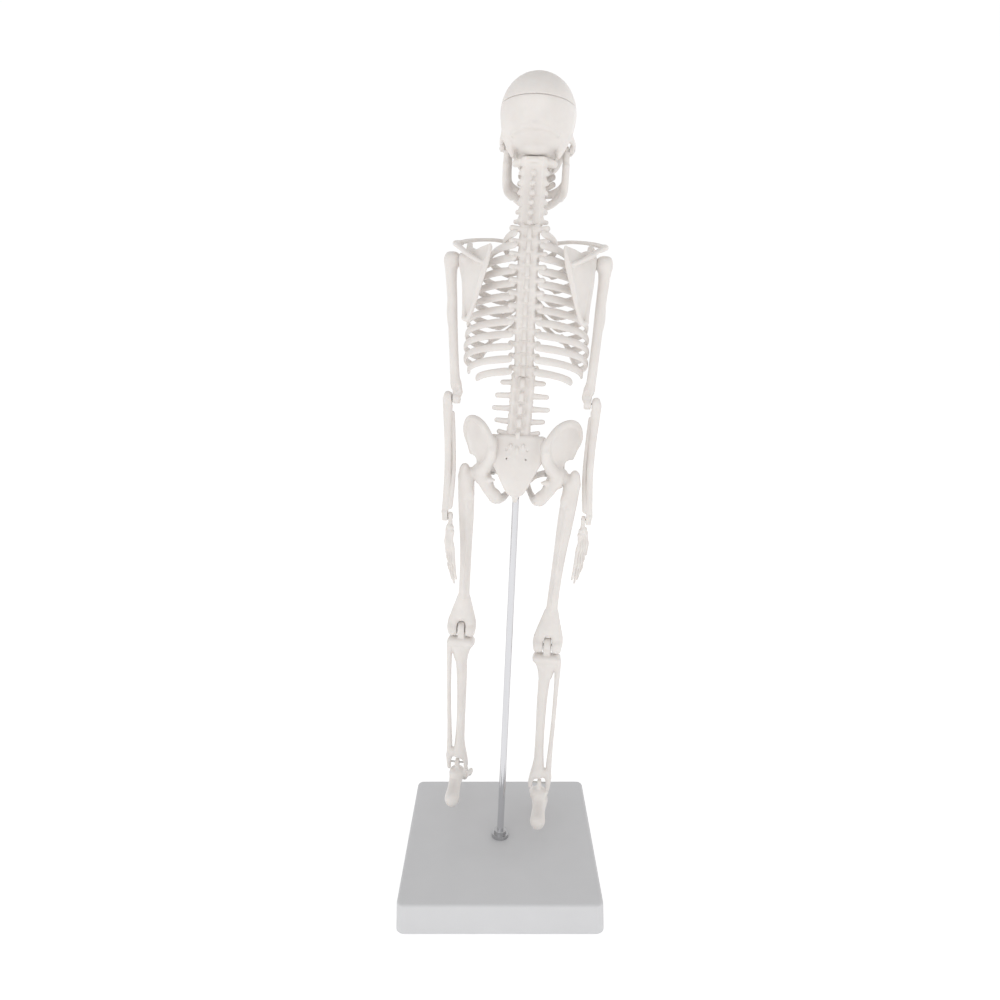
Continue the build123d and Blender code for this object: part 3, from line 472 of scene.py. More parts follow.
for name, part in frame["nodes"].items():
    if name == "base_shell":
        finish = BASE
    elif name == "rubber_feet":
        finish = RUBBER
    elif name == "support_rod":
        finish = CHROME
    elif name in ("rod_collar", "base_washer", "base_nut", "rod_bush"):
        finish = STEEL
    elif "_pin" in name:
        finish = WIRE
    else:
        finish = BONE
    part.data.materials.clear()
    part.data.materials.append(finish)


# ---------------------------------------------------------------- column
SACRUM_TOP = 248.0
LUMBAR_TOP = 283.0
THORAX_TOP = 358.6
NECK_TOP = 391.0
THORAX_X = -1.3
NECK_X = -2.0
PELVIS_X = -1.2


def spine_x(z):
    """Sideways place of the column at a height."""
    return float(np.interp(z, (SACRUM_TOP, LUMBAR_TOP, THORAX_TOP, NECK_TOP),
                           (0, THORAX_X, THORAX_X, NECK_X)))


def spine_y(z):
    """Fore and aft place of the vertebral bodies."""
    if z < LUMBAR_TOP:
        return -3.0 * math.sin(math.radians(108 * (z - SACRUM_TOP) / (LUMBAR_TOP - SACRUM_TOP)))
    if z < THORAX_TOP:
        along = (z - LUMBAR_TOP) / (THORAX_TOP - LUMBAR_TOP)
        return -2.8 + 5.8 * math.sin(math.radians(180 * along)) + 4.0 * along
    return 1.2


def vertebral_body(clay, z, pitch, wide, deep):
    """A waisted drum with a disc above it."""
    x, y = spine_x(z), spine_y(z)
    clay.egg((x, y, z), (wide * 0.93, deep * 0.93, pitch * 0.60), 0.9)
    for end in (-0.36, 0.36):
        clay.egg((x, y, z + end * pitch), (wide, deep, pitch * 0.17), 0.5)


def lumbar(clay):
    """Five broad vertebrae with long side processes."""
    pitch = (LUMBAR_TOP - SACRUM_TOP) / 5
    for level in range(5):
        z = SACRUM_TOP + (level + 0.5) * pitch
        x, y = spine_x(z), spine_y(z)
        vertebral_body(clay, z, pitch, 6.0 - 0.12 * level, 4.9)
        reach = (10.5, 12.5, 14.4, 13.4, 11.0)[level]
        lift = (1.6, 0.6, 0.0, -0.2, -0.2)[level]
        clay.block((x, y + 5.3, z - 0.2), (5.0, 1.7, pitch * 0.50), 0.9, 1.2)
        for out in SIDES.values():
            clay.curve([(x + out * 2.6, y + 4.6, z + 0.4), (x + out * 6.6, y + 5.0, z + 0.3 * lift),
                        (x + out * reach, y + 5.4, z + lift)], (2.2, 1.65, 1.35), 1.2, ((0, 1, 0), 0.72))
            clay.curve([(x + out * 4.8, y + 5.4, z + pitch * 0.52), (x + out * 4.4, y + 6.0, z - 0.2),
                        (x + out * 4.2, y + 6.2, z - pitch * 0.48)], (1.75, 1.45, 1.65), 0.9)
        clay.plate(smooth_line([(0, 2.6), (3.4, 2.2), (4.4, 0.2), (4.0, -2.6), (2.2, -2.6), (0, -2.4)], 4,
                               True),
                   (x, y + 5.4, z), (0, 1, 0), (0, 0, 1), 1.0, 1.2, edge=0.5, rim=0.3)


def thoracic(clay):
    """Twelve vertebrae with overlapping laminae."""
    pitch = (THORAX_TOP - LUMBAR_TOP) / 12
    for level in range(12):
        z = LUMBAR_TOP + (level + 0.5) * pitch
        x, y = spine_x(z), spine_y(z)
        vertebral_body(clay, z, pitch, 4.9 - 0.09 * level, 4.5 - 0.07 * level)
        reach = 6.6 + 0.20 * level
        clay.block((x, y + 5.1, z), (4.4, 1.5, pitch * 0.52), 0.8, 1.1)
        for out in SIDES.values():
            clay.curve([(x + out * 2.0, y + 4.9, z + 0.4), (x + out * 4.8, y + 6.0, z + 0.9),
                        (x + out * reach, y + 7.4, z + 1.2)], (1.9, 1.45, 1.55), 0.9)
            clay.curve([(x + out * 3.9, y + 5.2, z + pitch * 0.5),
                        (x + out * 3.7, y + 5.7, z - pitch * 0.5)],
                       (1.35, 1.3), 0.8)
        clay.plate(smooth_line([(0, 2.4), (2.4, 1.4), (3.4, -1.2), (3.2, -3.2), (1.4, -3.0), (0, -2.6)], 4,
                               True),
                   (x, y + 5.0, z), (0, 1, 0), (0, 0, 1), 0.9, 1.2, edge=0.4, rim=0.2)


def cervical(clay):
    """Seven small vertebrae, with the atlas on top."""
    pitch = (NECK_TOP - THORAX_TOP) / 7
    for level in range(7):
        z = THORAX_TOP + (level + 0.5) * pitch
        x, y = spine_x(z), spine_y(z)
        vertebral_body(clay, z, pitch, 4.3 - 0.06 * level, 3.7)
        clay.block((x, y + 4.7, z), (4.9, 1.5, pitch * 0.50), 0.7, 1.0)
        wide = (7.9, 7.2, 6.9, 6.8, 6.8, 6.9, 0)[level]
        for out in SIDES.values():
            if wide:
                clay.curve([(x + out * 3.2, y + 1.6, z), (x + out * wide, y + 2.4, z - 0.5)],
                           (1.7, 1.1), 1.0)
            clay.egg((x + out * 4.9, y + 3.7, z), (2.05, 2.2, pitch * 0.56), 0.9)
        if level < 6:
            tail = 5.6 - 0.42 * level
            clay.curve([(x, y + 4.0, z), (x, y + 4.4 + tail * 0.5, z - 0.5), (x, y + 4.2 + tail, z - 1.4)],
                       (1.7, 1.25, 1.45), 0.8)
    z = NECK_TOP - 0.5 * pitch
    x, y = spine_x(z), spine_y(z)
    for out in SIDES.values():
        clay.curve([(x + out * 2.5, y + 2.0, z), (x + out * 6.2, y + 1.9, z + 0.1),
                    (x + out * 9.6, y + 2.2, z - 0.5)],
                   (2.3, 2.2, 1.9), 1.1)
        clay.egg((x + out * 4.3, y + 0.2, z + 0.8), (2.5, 3.4, 1.5), 0.8)
    clay.curve([(x - 5, y + 2.6, z), (x - 3, y + 5.3, z), (x, y + 6.3, z + 0.2), (x + 3, y + 5.3, z),
                (x + 5, y + 2.6, z)],
               1.35, 0.8)


SPINE = {
    "lumbar_spine": (lumbar, (-18, -10, 246.5), (16, 13, 285), 0.26),
    "thoracic_spine": (thoracic, (-13, -9, 279), (11, 20, 361), 0.3),
    "cervical_spine": (cervical, (-14, -5, 356), (10, 14, NECK_TOP + 1), 0.24),
}


def make_spine():
    """The three mouldings of the column."""
    for name, (shape, low, high, pitch) in SPINE.items():
        clay = Clay(low, high, pitch)
        shape(clay)
        if name == "cervical_spine":
            clay.keep_side((0, 0, NECK_TOP), (0, 0, 1), 0.3)
        clay.ripple(5.0, 0.08, 3)
        clay.piece(name + "_moulding", TRUNK, "trunk", [name], BONE)


# ---------------------------------------------------------------- rib cage
RIB_PITCH = (THORAX_TOP - LUMBAR_TOP) / 12
RIB_WIDTHS = (14.5, 21.5, 26.0, 28.8, 30.6, 31.8, 32.8, 33.5, 34.0, 33.8, 31.5, 28.0)
RIB_DEPTHS = (15.6, 18.0, 19.2, 20.0, 20.8, 21.3, 21.6, 21.6, 21.4, 21.0, 20.5, 20.0)
RIB_ENDS = (9.0, 12.0, 14.0, 16.0, 18.0, 20.0, 22.0, 25.0, 28.0, 30.5)
FLOATING_REACH = (88.0, 66.0)
RIB_SLOPE = math.radians(24.0)
RIB_BACK = 13.5
RIB_THICK = 1.7
RIB_TALL = 3.9
STERNUM_TOP = (-17.0, 353.0)
STERNUM_END = (-27.0, 308.0)
STERNUM_LEVELS = (346.5, 341.0, 335.0, 329.0, 323.5, 319.0, 315.5)


def rib_line(number, out):
    """The middle line of a rib, from its neck round to its front end."""
    wide = RIB_WIDTHS[number] - RIB_THICK / 2
    deep = RIB_DEPTHS[number] - RIB_THICK / 2
    start = math.degrees(math.asin(7.4 / wide))
    if number < len(RIB_ENDS):
        end = 180 - math.degrees(math.asin(RIB_ENDS[number] / wide))
    else:
        end = FLOATING_REACH[number - len(RIB_ENDS)]
    z_back = THORAX_TOP - (number + 0.5) * RIB_PITCH
    middle_y = RIB_BACK - RIB_DEPTHS[number] * math.cos(RIB_SLOPE)
    middle_z = z_back - RIB_DEPTHS[number] * math.sin(RIB_SLOPE)
    points = []
    for step in range(25):
        angle = math.radians(start + (end - start) * step / 24)
        back = deep * math.cos(angle)
        points.append((THORAX_X + out * wide * math.sin(angle), middle_y + back * math.cos(RIB_SLOPE),
                       middle_z + back * math.sin(RIB_SLOPE)))
    return np.array(points)


def rib(clay, number, out):
    """One rib: a flattened band, with its neck running in to the column."""
    line = rib_line(number, out)
    thick = RIB_THICK / 2
    taper = np.interp(np.linspace(0, 1, len(line)), (0, 0.1, 0.35, 0.8, 1), (1.0, 1.08, 1.0, 1.05, 1.12))
    share = thick / (RIB_TALL / 2)
    tangent = np.gradient(line, axis=0)
    normal = np.array([0, -math.sin(RIB_SLOPE), math.cos(RIB_SLOPE)])
    for a in range(len(line) - 1):
        sideways = unit(np.cross(tangent[a], normal))
        clay.bar(line[a:a + 2], RIB_TALL / 2 * taper[a:a + 2], 0.25, (sideways, share))
    z = THORAX_TOP - (number + 0.5) * RIB_PITCH
    neck = [(THORAX_X + out * 3.6, spine_y(z) + 2.4, z + 1.2), (THORAX_X + out * 5.8, spine_y(z) + 5.0,
                                                                z + 1.4), tuple(line[0])]
    clay.curve(neck, (1.35, 1.0, 1.15), 0.7)


def rib_front(number, out):
    """The middle of a rib's front end."""
    return rib_line(number, out)[-1]


def sternum_y(z):
    """Fore and aft place of the sternum at a height."""
    return float(np.interp(z, (STERNUM_END[1], STERNUM_TOP[1]), (STERNUM_END[0], STERNUM_TOP[0])))


RIB_GROUPS = {"true_ribs": range(0, 7), "false_ribs": range(7, 10), "floating_ribs": range(10, 12)}


def make_ribs(side):
    """The true, false and floating ribs of one side."""
    out = SIDES[side]
    for group, numbers in RIB_GROUPS.items():
        lines = np.concatenate([rib_line(number, out) for number in numbers])
        low, high = lines.min(0) - 3.5, lines.max(0) + 3.5
        low[0], high[0] = min(low[0], THORAX_X + out * 2), max(high[0], THORAX_X + out * 2)
        clay = Clay(low, high, 0.3)
        for number in numbers:
            rib(clay, number, out)
        clay.piece(f"{group}_{side}_moulding", TRUNK, "trunk", [f"{group}_{side}"], BONE)


def make_cartilage(side):
    """The cartilages of ribs one to ten on one side."""
    out = SIDES[side]
    low, high = sorted_box((THORAX_X + out * 2, -32, 278), (THORAX_X + out * 35, -6, 352))
    clay = Clay(low, high, 0.3)
    for number, level in enumerate(STERNUM_LEVELS):
        front = rib_front(number, out)
        before = rib_line(number, out)[-3]
        ahead = front + (front - before) * 0.9
        edge = 4.6 if number == 0 else 3.2
        end = np.array((THORAX_X + out * edge, sternum_y(level), level))
        bend = (front * 0.35 + end * 0.65) + np.array((0, -0.8, -1.2 - 0.25 * number))
        clay.curve([before, front, ahead if number > 2 else (front + bend) / 2, bend, end],
                   (1.3, 1.45, 1.35, 1.3, 1.4), 0.8, ((0, 1, 0), 0.72))
    for number in (7, 8, 9):
        front = rib_front(number, out)
        before = rib_line(number, out)[-3]
        upper = rib_front(number - 1, out)
        clay.curve([before, front, (front + upper) / 2 + np.array((-out * 1.6, -1.4, -1.0)),
                    upper + np.array((-out * 3.4, -1.3, 1.8))],
                   (1.3, 1.4, 1.35, 1.2), 0.9, ((0, 1, 0), 0.72))
    clay.piece(f"costal_cartilage_{side}_moulding", TRUNK, "trunk", [f"costal_cartilage_{side}"], BONE)


def sorted_box(a, b):
    """The lowest and highest corners of two points."""
    return np.minimum(a, b), np.maximum(a, b)


def outward(middle, out):
    """A function that places points by how far out they are from a middle line."""
    def at(x, y, z):
        """The point itself."""
        return (middle + out * x, y, z)
    return at


def make_sternum():
    """The breastbone: manubrium, body and xiphoid."""
    clay = Clay((-10, -32, 303), (8, -12, 357), 0.26)
    lean = np.array((0, STERNUM_TOP[0] - STERNUM_END[0], STERNUM_TOP[1] - STERNUM_END[1]))
    outline = smooth_line([(0, 0.2), (3.2, 1.0), (6.0, 0.2), (6.1, -3.6), (4.2, -9.5), (2.9, -12.2),
                           (3.4, -18), (4.0, -26),
                           (4.2, -33), (2.4, -38.2), (1.2, -41), (1.1, -45.5), (0, -46.6)], 4)
    outline = np.concatenate([outline, outline[::-1] * (-1, 1)])
    clay.plate(outline, (THORAX_X, STERNUM_TOP[0], STERNUM_TOP[1]), (1, 0, 0), lean, 1.15, 0.5, edge=0.8,
               bow=lambda u, v: -0.9 * np.cos(u / 7.0) + 0.0009 * (v + 22) ** 2)
    for level in (-11.5, -17.5, -23.5, -29.0, -34.0):
        middle = np.array((THORAX_X, STERNUM_TOP[0], STERNUM_TOP[1])) + unit(lean) * level
        clay.curve([middle + (-3.4, -1.1, 0), middle + (0, -1.7, 0), middle + (3.4, -1.1, 0)], 0.7, 0.9)
    clay.egg((THORAX_X, STERNUM_TOP[0] - 0.2, STERNUM_TOP[1] + 1.9), (2.4, 3, 1.7), 0.8, dig=True)
    clay.piece("sternum_moulding", TRUNK, "trunk", ["sternum"], BONE)


# ---------------------------------------------------------------- pelvis
COCCYX_TIP = 214.5
BUSH_RADIUS = 3.05
HIP_SEAT = {side: TRUNK.from_row(joint_point("hip_swing_" + side)) for side in SIDES}
SOCKET_RADIUS = 5.7


def make_sacrum():
    """The sacrum and coccyx, bored for the rod's bush."""
    clay = Clay((-18, -9, 212), (18, 15, 252.5), 0.28)
    side = [(7.5, 252), (13.0, 250.8), (16.0, 247.4), (15.4, 241), (12.4, 235), (9.4, 229), (6.8, 223.5),
            (4.4, 219.6), (2.0, 218.2)]
    outline = smooth_line([(x, z - 235) for x, z in side], 4)
    outline = np.concatenate([outline, outline[::-1] * (-1, 1)])
    clay.plate(outline, (0, 6.4, 235), (-1, 0, 0), (0, 0, 1), 2.5, 0.8, edge=1.6, rim=0.2,
               bow=lambda u, v: 3.4 - 0.0115 * (v + 2) ** 2 - 0.012 * u * u)
    clay.egg((0, 0.6, 247.2), (6.4, 5.4, 2.8), 1.5)
    for out in SIDES.values():
        clay.egg((out * 9.0, 1.6, 246.2), (5.0, 5.2, 3.6), 2.0)
        clay.curve([(out * 13.4, 5.4, 249.5), (out * 13.4, 7.6, 243), (out * 10.6, 9.0, 236)],
                   (2.0, 2.0, 1.3), 1.5)
    for level, z in enumerate((244.2, 239.2, 234.0, 229.2)):
        y = 10.6 - 0.05 * level
        clay.egg((0, y + 0.2, z), (1.0, 1.2, 2.0), 1.0)
        for out in SIDES.values():
            clay.drum((out * (5.6 - 0.55 * level), y, z), (0, 1, 0.1), 0.55, 0.7, 0.2, 0.6, dig=True)
            clay.egg((out * (3.3 - 0.3 * level), y, z + 2.2), (0.8, 0.8, 1.2), 0.8)
    clay.curve([(0, 8.4, 221), (0, 7.3, 218), (0, 6.2, 216.2), (0, 5.4, COCCYX_TIP + 0.6)],
               (2.8, 1.9, 1.6, 1.1), 0.9, ((0, 1, 0), 0.8))
    clay.drum((0, 0, 228), (0, 0, 1), BUSH_RADIUS, 17.5, 0.1, 0.1, dig=True)
    clay.piece("sacrum_moulding", TRUNK, "trunk", ["sacrum"], BONE)


def make_hip_bone(side):
    """One hip bone: wing, socket, ischium and pubis."""
    out = SIDES[side]
    seat = HIP_SEAT[side]
    at = outward(PELVIS_X, out)
    low, high = sorted_box(at(1.6, -20, 211), at(35, 17, 261))
    clay = Clay(low, high, 0.28)
    wing = [at(14.4, 12.2, 243.5), at(15.6, 12.0, 250.5), at(20.0, 7.6, 256.6), at(25.4, 1.6, 259.0),
            at(29.8, -5.4, 257.6),
            at(32.2, -11.6, 252.4), at(32.0, -14.6, 246.6), at(28.6, -12.2, 240.2), at(25.4, -9.4, 234.4),
            at(21.8, -3.0, 230.0), at(18.6, 3.6, 231.4), at(16.0, 9.0, 236.0)]
    clay.sheet(wing, 0.95, 1.2, lambda u, v: 1.7 - 0.0105 * (u * u + v * v), 0.7, 0.7, 5, (out, 0, 0))
    clay.curve(wing[:8], (1.5, 1.5, 1.55, 1.75, 1.75, 1.65, 1.5, 1.3), 1.2)
    clay.curve([wing[7], at(26.4, -9.8, 235.5), at(23.4, -7.0, 231.0)], (1.7, 2.3, 3.0), 1.4)
    clay.curve([wing[0], at(15.2, 9.8, 238.5), at(18.4, 4.6, 232.6), at(20.6, 1.0, 230.0)],
               (2.3, 2.8, 3.4, 4.4), 1.6)
    clay.egg(at(13.8, 8.6, 246.0), (2.2, 4.6, 4.8), 1.6)
    centre = np.array(at(21.4, seat[1] + 0.2, seat[2]))
    clay.egg(centre, (4.8, 7.1, 7.2), 1.4)
    clay.curve([at(19.4, 2.0, 226.6), at(15.8, 4.6, 220.4), at(11.8, 3.4, 215.8), at(9.0, -1.6, 215.0),
                at(6.4, -7.6, 217.2), at(3.9, -13.0, 220.6)], (4.4, 3.5, 3.2, 2.3, 1.7, 2.0), 1.3)
    clay.egg(at(12.6, 4.2, 217.0), (3.3, 3.5, 4.0), 1.4)
    clay.curve([at(19.6, -6.6, 229.0), at(14.0, -12.4, 228.2), at(8.4, -15.4, 226.0),
                at(4.2, -15.6, 223.4)],
               (3.6, 2.3, 2.1, 2.7), 1.3, ((0, 0.3, 0.95), 0.85))
    clay.curve([at(15.4, 6.4, 226.4), at(13.2, 8.2, 226.6)], (1.6, 0.8), 1.2)
    clay.egg((seat[0] + out * 1.2, seat[1], seat[2]), (SOCKET_RADIUS + 0.9, SOCKET_RADIUS, SOCKET_RADIUS),
             0.4, dig=True)
    clay.block((seat[0] + out * (2.8 + 20), seat[1], seat[2] - 1.0), (20, 13, 9.5), 2.0, 0.8, dig=True)
    clay.block((PELVIS_X - out * (20 - 1.9), -10, 225), (20, 15, 20), 0.3, 0.2, dig=True)
    clay.piece(f"hip_bone_{side}_moulding", TRUNK, "trunk", [f"hip_bone_{side}"], BONE)


def make_symphysis():
    """The pad between the pubic bones."""
    clay = Clay((PELVIS_X - 4, -19, 217), (PELVIS_X + 4, -11, 228), 0.25)
    clay.egg((PELVIS_X, -15.2, 222.6), (2.2, 2.3, 3.6), 0.4)
    clay.piece("pubic_symphysis_moulding", TRUNK, "trunk", ["pubic_symphysis"], BONE)


# ---------------------------------------------------------------- shoulder girdle
SHOULDER_SEAT = {side: TRUNK.from_row(joint_point("shoulder_swing_" + side)) for side in SIDES}


def make_clavicle(side):
    """One collar bone."""
    out = SIDES[side]
    at = outward(THORAX_X, out)
    low, high = sorted_box(at(3, -22, 345), at(41, 4, 358))
    clay = Clay(low, high, 0.25)
    clay.curve([at(6.4, -17.6, 352.4), at(12, -16.4, 352.8), at(20, -12.6, 353.3), at(28, -6.4, 352.4),
                at(33.5, -3.2, 351.2),
                at(36.2, -2.2, 350.6)], (1.75, 1.3, 1.1, 1.1, 1.35, 1.2), 0.5, ((0, 0, 1), 0.85))
    clay.egg(at(6.2, -17.4, 352.4), (1.7, 2.0, 2.0), 0.8)
    clay.piece(f"clavicle_{side}_moulding", TRUNK, "trunk", [f"clavicle_{side}"], BONE)


def make_scapula(side):
    """One shoulder blade, cut clear of the humerus."""
    out = SIDES[side]
    seat = SHOULDER_SEAT[side]
    reach = out * (seat[0] - THORAX_X)
    at = outward(THORAX_X, out)
    low, high = sorted_box(at(15, -8, 307), at(43, 22, 354))
    clay = Clay(low, high, 0.25)
    glenoid = reach - 5.2
    blade = [at(18.8, 17.6, 347.2), at(19.6, 18.0, 340), at(22.6, 17.9, 329.5), at(26.0, 17.0, 319),
             at(29.2, 15.6, 311.4),
             at(31.2, 14.4, 311.6), at(31.8, 11.8, 320), at(32.6, 8.4, 330), at(glenoid - 0.8, 4.0, 338.2),
             at(glenoid - 0.6, 2.6, 343.6), at(29.8, 7.4, 347.0), at(26.4, 10.8, 345.6),
             at(22.6, 14.4, 347.0)]
    clay.sheet(blade, 0.62, 1.0, lambda u, v: 1.0 - 0.006 * (u * u + v * v), 0.55, 0.5, 5, (0, 1, 0))
    clay.curve(blade[:6], (0.85, 0.85, 0.9, 1.0, 1.2, 1.2), 0.8)
    clay.curve(blade[5:9], (1.2, 1.1, 1.35, 2.0), 0.9)
    clay.curve([at(20.4, 17.6, 338.2), at(25.0, 17.2, 340.0), at(30.4, 14.4, 343.2), at(35.2, 9.4, 346.8),
                at(38.0, 4.2, 348.9), at(38.2, -0.2, 349.6),
                at(36.4, -2.6, 350.2)], (0.8, 1.25, 1.35, 1.5, 1.8, 1.9, 1.5), 1.0, ((0, 0, 1), 0.85))
    clay.curve([at(22.5, 16.6, 339.0), at(28.6, 13.4, 341.8), at(33.2, 9.0, 344.6)], (1.0, 1.1, 1.0), 1.2)
    clay.curve([at(glenoid - 2.6, 4.6, 341.6), at(glenoid - 0.2, 1.4, 341.4),
                at(glenoid + 1.2, -0.9, seat[2])],
               (2.3, 2.9, 3.6), 1.2)
    clay.curve([at(30.8, 5.6, 346.4), at(31.2, 1.6, 348.8), at(32.2, -2.4, 348.0), at(33.4, -4.6, 345.8)],
               (1.5, 1.5, 1.4, 1.1), 1.0)
    clay.egg(seat, (4.65, 4.65, 4.65), 0.3, dig=True)
    clay.block((seat[0] + out * (20 - 3.6), seat[1], seat[2] - 3.5), (20, 12, 8), 0.6, 0.4, dig=True)
    clay.piece(f"scapula_{side}_moulding", TRUNK, "trunk", [f"scapula_{side}"], BONE)


# ---------------------------------------------------------------- arms
UPPER_ARM = 72.0
FOREARM = 65.5
ARM_LAP = 2.1
ELBOW_RADIUS = 3.1
WRIST_RADIUS = 2.1
LAP_GAP = 0.15


def make_humerus(side):
    """One upper arm bone."""
    out = SIDES[side]
    clay = Clay((-7, -6, -77), (7, 6, 6), 0.27)
    clay.egg((-out * 0.2, 0, 0), (4.2, 4.2, 4.2), 0.5)
    clay.egg((out * 2.2, -0.4, 0.4), (2.6, 3.3, 3.6), 1.2)
    clay.curve([(out * 1.0, 0, -2), (out * 0.9, 0, -9), (out * 0.3, 0, -22), (-out * 0.2, 0, -38),
                (-out * 0.9, 0, -54),
                (-out * 1.5, 0, -64)], (3.6, 2.95, 2.65, 2.5, 2.5, 2.7), 1.4, ((0, 1, 0), 0.92))
    clay.egg((out * 1.6, -0.6, -27), (1.6, 1.9, 6.0), 1.6)
    clay.egg((-out * 2.3, 0, -66.5), (2.9, 2.5, 5.0), 1.6)
    clay.egg((-out * 4.1, 0.3, -69.0), (1.5, 1.6, 2.4), 1.2)
    clay.drum((-out * 2.25, 0, -UPPER_ARM), (1, 0, 0), ELBOW_RADIUS, 2.05, 0.8, 0.9)
    clay.egg((-out * 2.4, 2.7, -66.8), (1.4, 1.3, 2.0), 0.8, dig=True)
    clay.block((out * (10 - LAP_GAP), 0, -UPPER_ARM), (10, 6, 4.6), 0.8, 0.6, dig=True)
    clay.piece(f"humerus_{side}_moulding", PLACES["upper_arm_" + side], "upper_arm_" + side,
               [f"humerus_{side}"], BONE)


def make_forearm(side):
    """The radius and ulna of one arm, in one moulding."""
    out = SIDES[side]
    clay = Clay((-6, -6, -71), (7, 6, 6), 0.26)
    clay.drum((out * 2.3, 0, 0), (1, 0, 0), ELBOW_RADIUS + 0.1, 2.1, 1.0, 0.9)
    clay.egg((out * 2.4, 1.0, 1.2), (1.9, 2.2, 2.6), 0.8)
    clay.curve([(out * 2.4, 0.2, -1), (out * 2.5, 0.7, -9), (out * 2.3, 0.9, -22), (out * 2.3, 0.9, -38),
                (out * 3.2, 0.5, -54),
                (out * 3.7, 0.1, -63.6)], (3.0, 2.5, 2.0, 1.85, 1.9, 2.2), 1.0, ((0, 1, 0), 0.85))
    clay.block((out * 3.75, 0, -65.4), (1.6, 2.3, 2.9), 0.7, 1.2)
    clay.curve([(out * 0.5, -1.5, -8.8), (-out * 0.2, -1.6, -22), (-out * 0.5, -1.5, -38),
                (out * 0.5, -1.0, -52),
                (out * 1.6, -0.6, -60.4)], (1.75, 1.5, 1.45, 1.7, 1.9), 0.5, ((1, 0, 0), 0.95))
    clay.block((out * (LAP_GAP - 10), 0, 0), (10, 6, 4.1), 0.4, 0.3, dig=True)
    clay.block((out * (ARM_LAP + LAP_GAP - 10), 0, -FOREARM), (10, 6, 3.5), 0.4, 0.3, dig=True)
    clay.piece(f"forearm_{side}_moulding", PLACES["forearm_" + side], "forearm_" + side,
               [f"forearm_{side}"], BONE)


PALM_LONG = 17.8
FINGERS = ((-3.55, 33.5), (-1.25, 37.4), (1.05, 39.2), (3.25, 36.2))
HAND_TURN = 35.0


def make_hand(side):
    """One hand: wrist bones, palm, fingers and thumb."""
    out = SIDES[side]
    clay = Clay((-11, -13, -42), (9, 10, 4), 0.24)
    turn = turn_matrix(rz=out * HAND_TURN)
    root = np.array((-out * 1.1, 0, 0))

    def palm(x, y, z):
        """A point of the hand, turned with it."""
        return root + turn @ np.array((out * x, y, z))

    clay.drum((-out * 1.28, 0, 0), (1, 0, 0), WRIST_RADIUS, 1.12, 0.5, 0.5)
    clay.curve([(-out * 1.25, 0, -0.5), (-out * 1.2, 0, -3.4), palm(0, 0, -6.4)], (1.25, 1.5, 2.0), 0.8,
               ((1, 0, 0), 0.8))
    for y, z in ((-2.6, -6.6), (-0.2, -5.9), (2.2, -6.4), (-3.4, -9.0), (-1.2, -8.9), (1.0, -8.8),
                 (3.1, -8.8)):
        clay.egg(palm(0, y, z), (1.15, 1.45, 1.5), 0.55)
    for y, reach in FINGERS:
        knuckle = -PALM_LONG + 0.3 * abs(y - 0.5)
        middle = -(PALM_LONG + (reach - PALM_LONG) * 0.45)
        end = -(PALM_LONG + (reach - PALM_LONG) * 0.76)
        curl = 0.0, 0.1, -0.5, -1.1, -2.0
        line = [palm(curl[0], y * 0.8, -9.5), palm(curl[1] + 0.25, y * 0.95, -13.6),
                palm(curl[1], y * 1.06, knuckle),
                palm(curl[2], y * 1.12, (knuckle + middle) / 2), palm(curl[2], y * 1.16, middle),
                palm(curl[3], y * 1.17, (middle + end) / 2), palm(curl[3], y * 1.18, end),
                palm(curl[4], y * 1.18, -reach)]
        clay.curve(line, (1.15, 0.85, 1.2, 0.85, 1.02, 0.74, 0.88, 0.62), 0.35, None, False, 5)
    thumb = [palm(0, -3.2, -8.2), palm(-0.5, -5.6, -12.6), palm(-0.9, -6.9, -16.4), palm(-1.3, -7.6, -20.2),
             palm(-1.6, -8.0, -23.6)]
    clay.curve(thumb, (1.3, 0.95, 1.25, 0.9, 0.75), 0.6)
    clay.block((out * (10 - LAP_GAP), 0, 0), (10, 6, 3.6), 0.3, 0.2, dig=True)
    clay.piece(f"hand_{side}_moulding", PLACES["hand_" + side], "hand_" + side, [f"hand_{side}"], BONE)


# ---------------------------------------------------------------- legs
SHIN = 91.5
CONDYLE_RADIUS = 4.9
CONDYLE_HALF = 8.2
KNEE_SLOT = 5.0
TONGUE_RADIUS = 4.2
ANKLE_TAB = 2.4


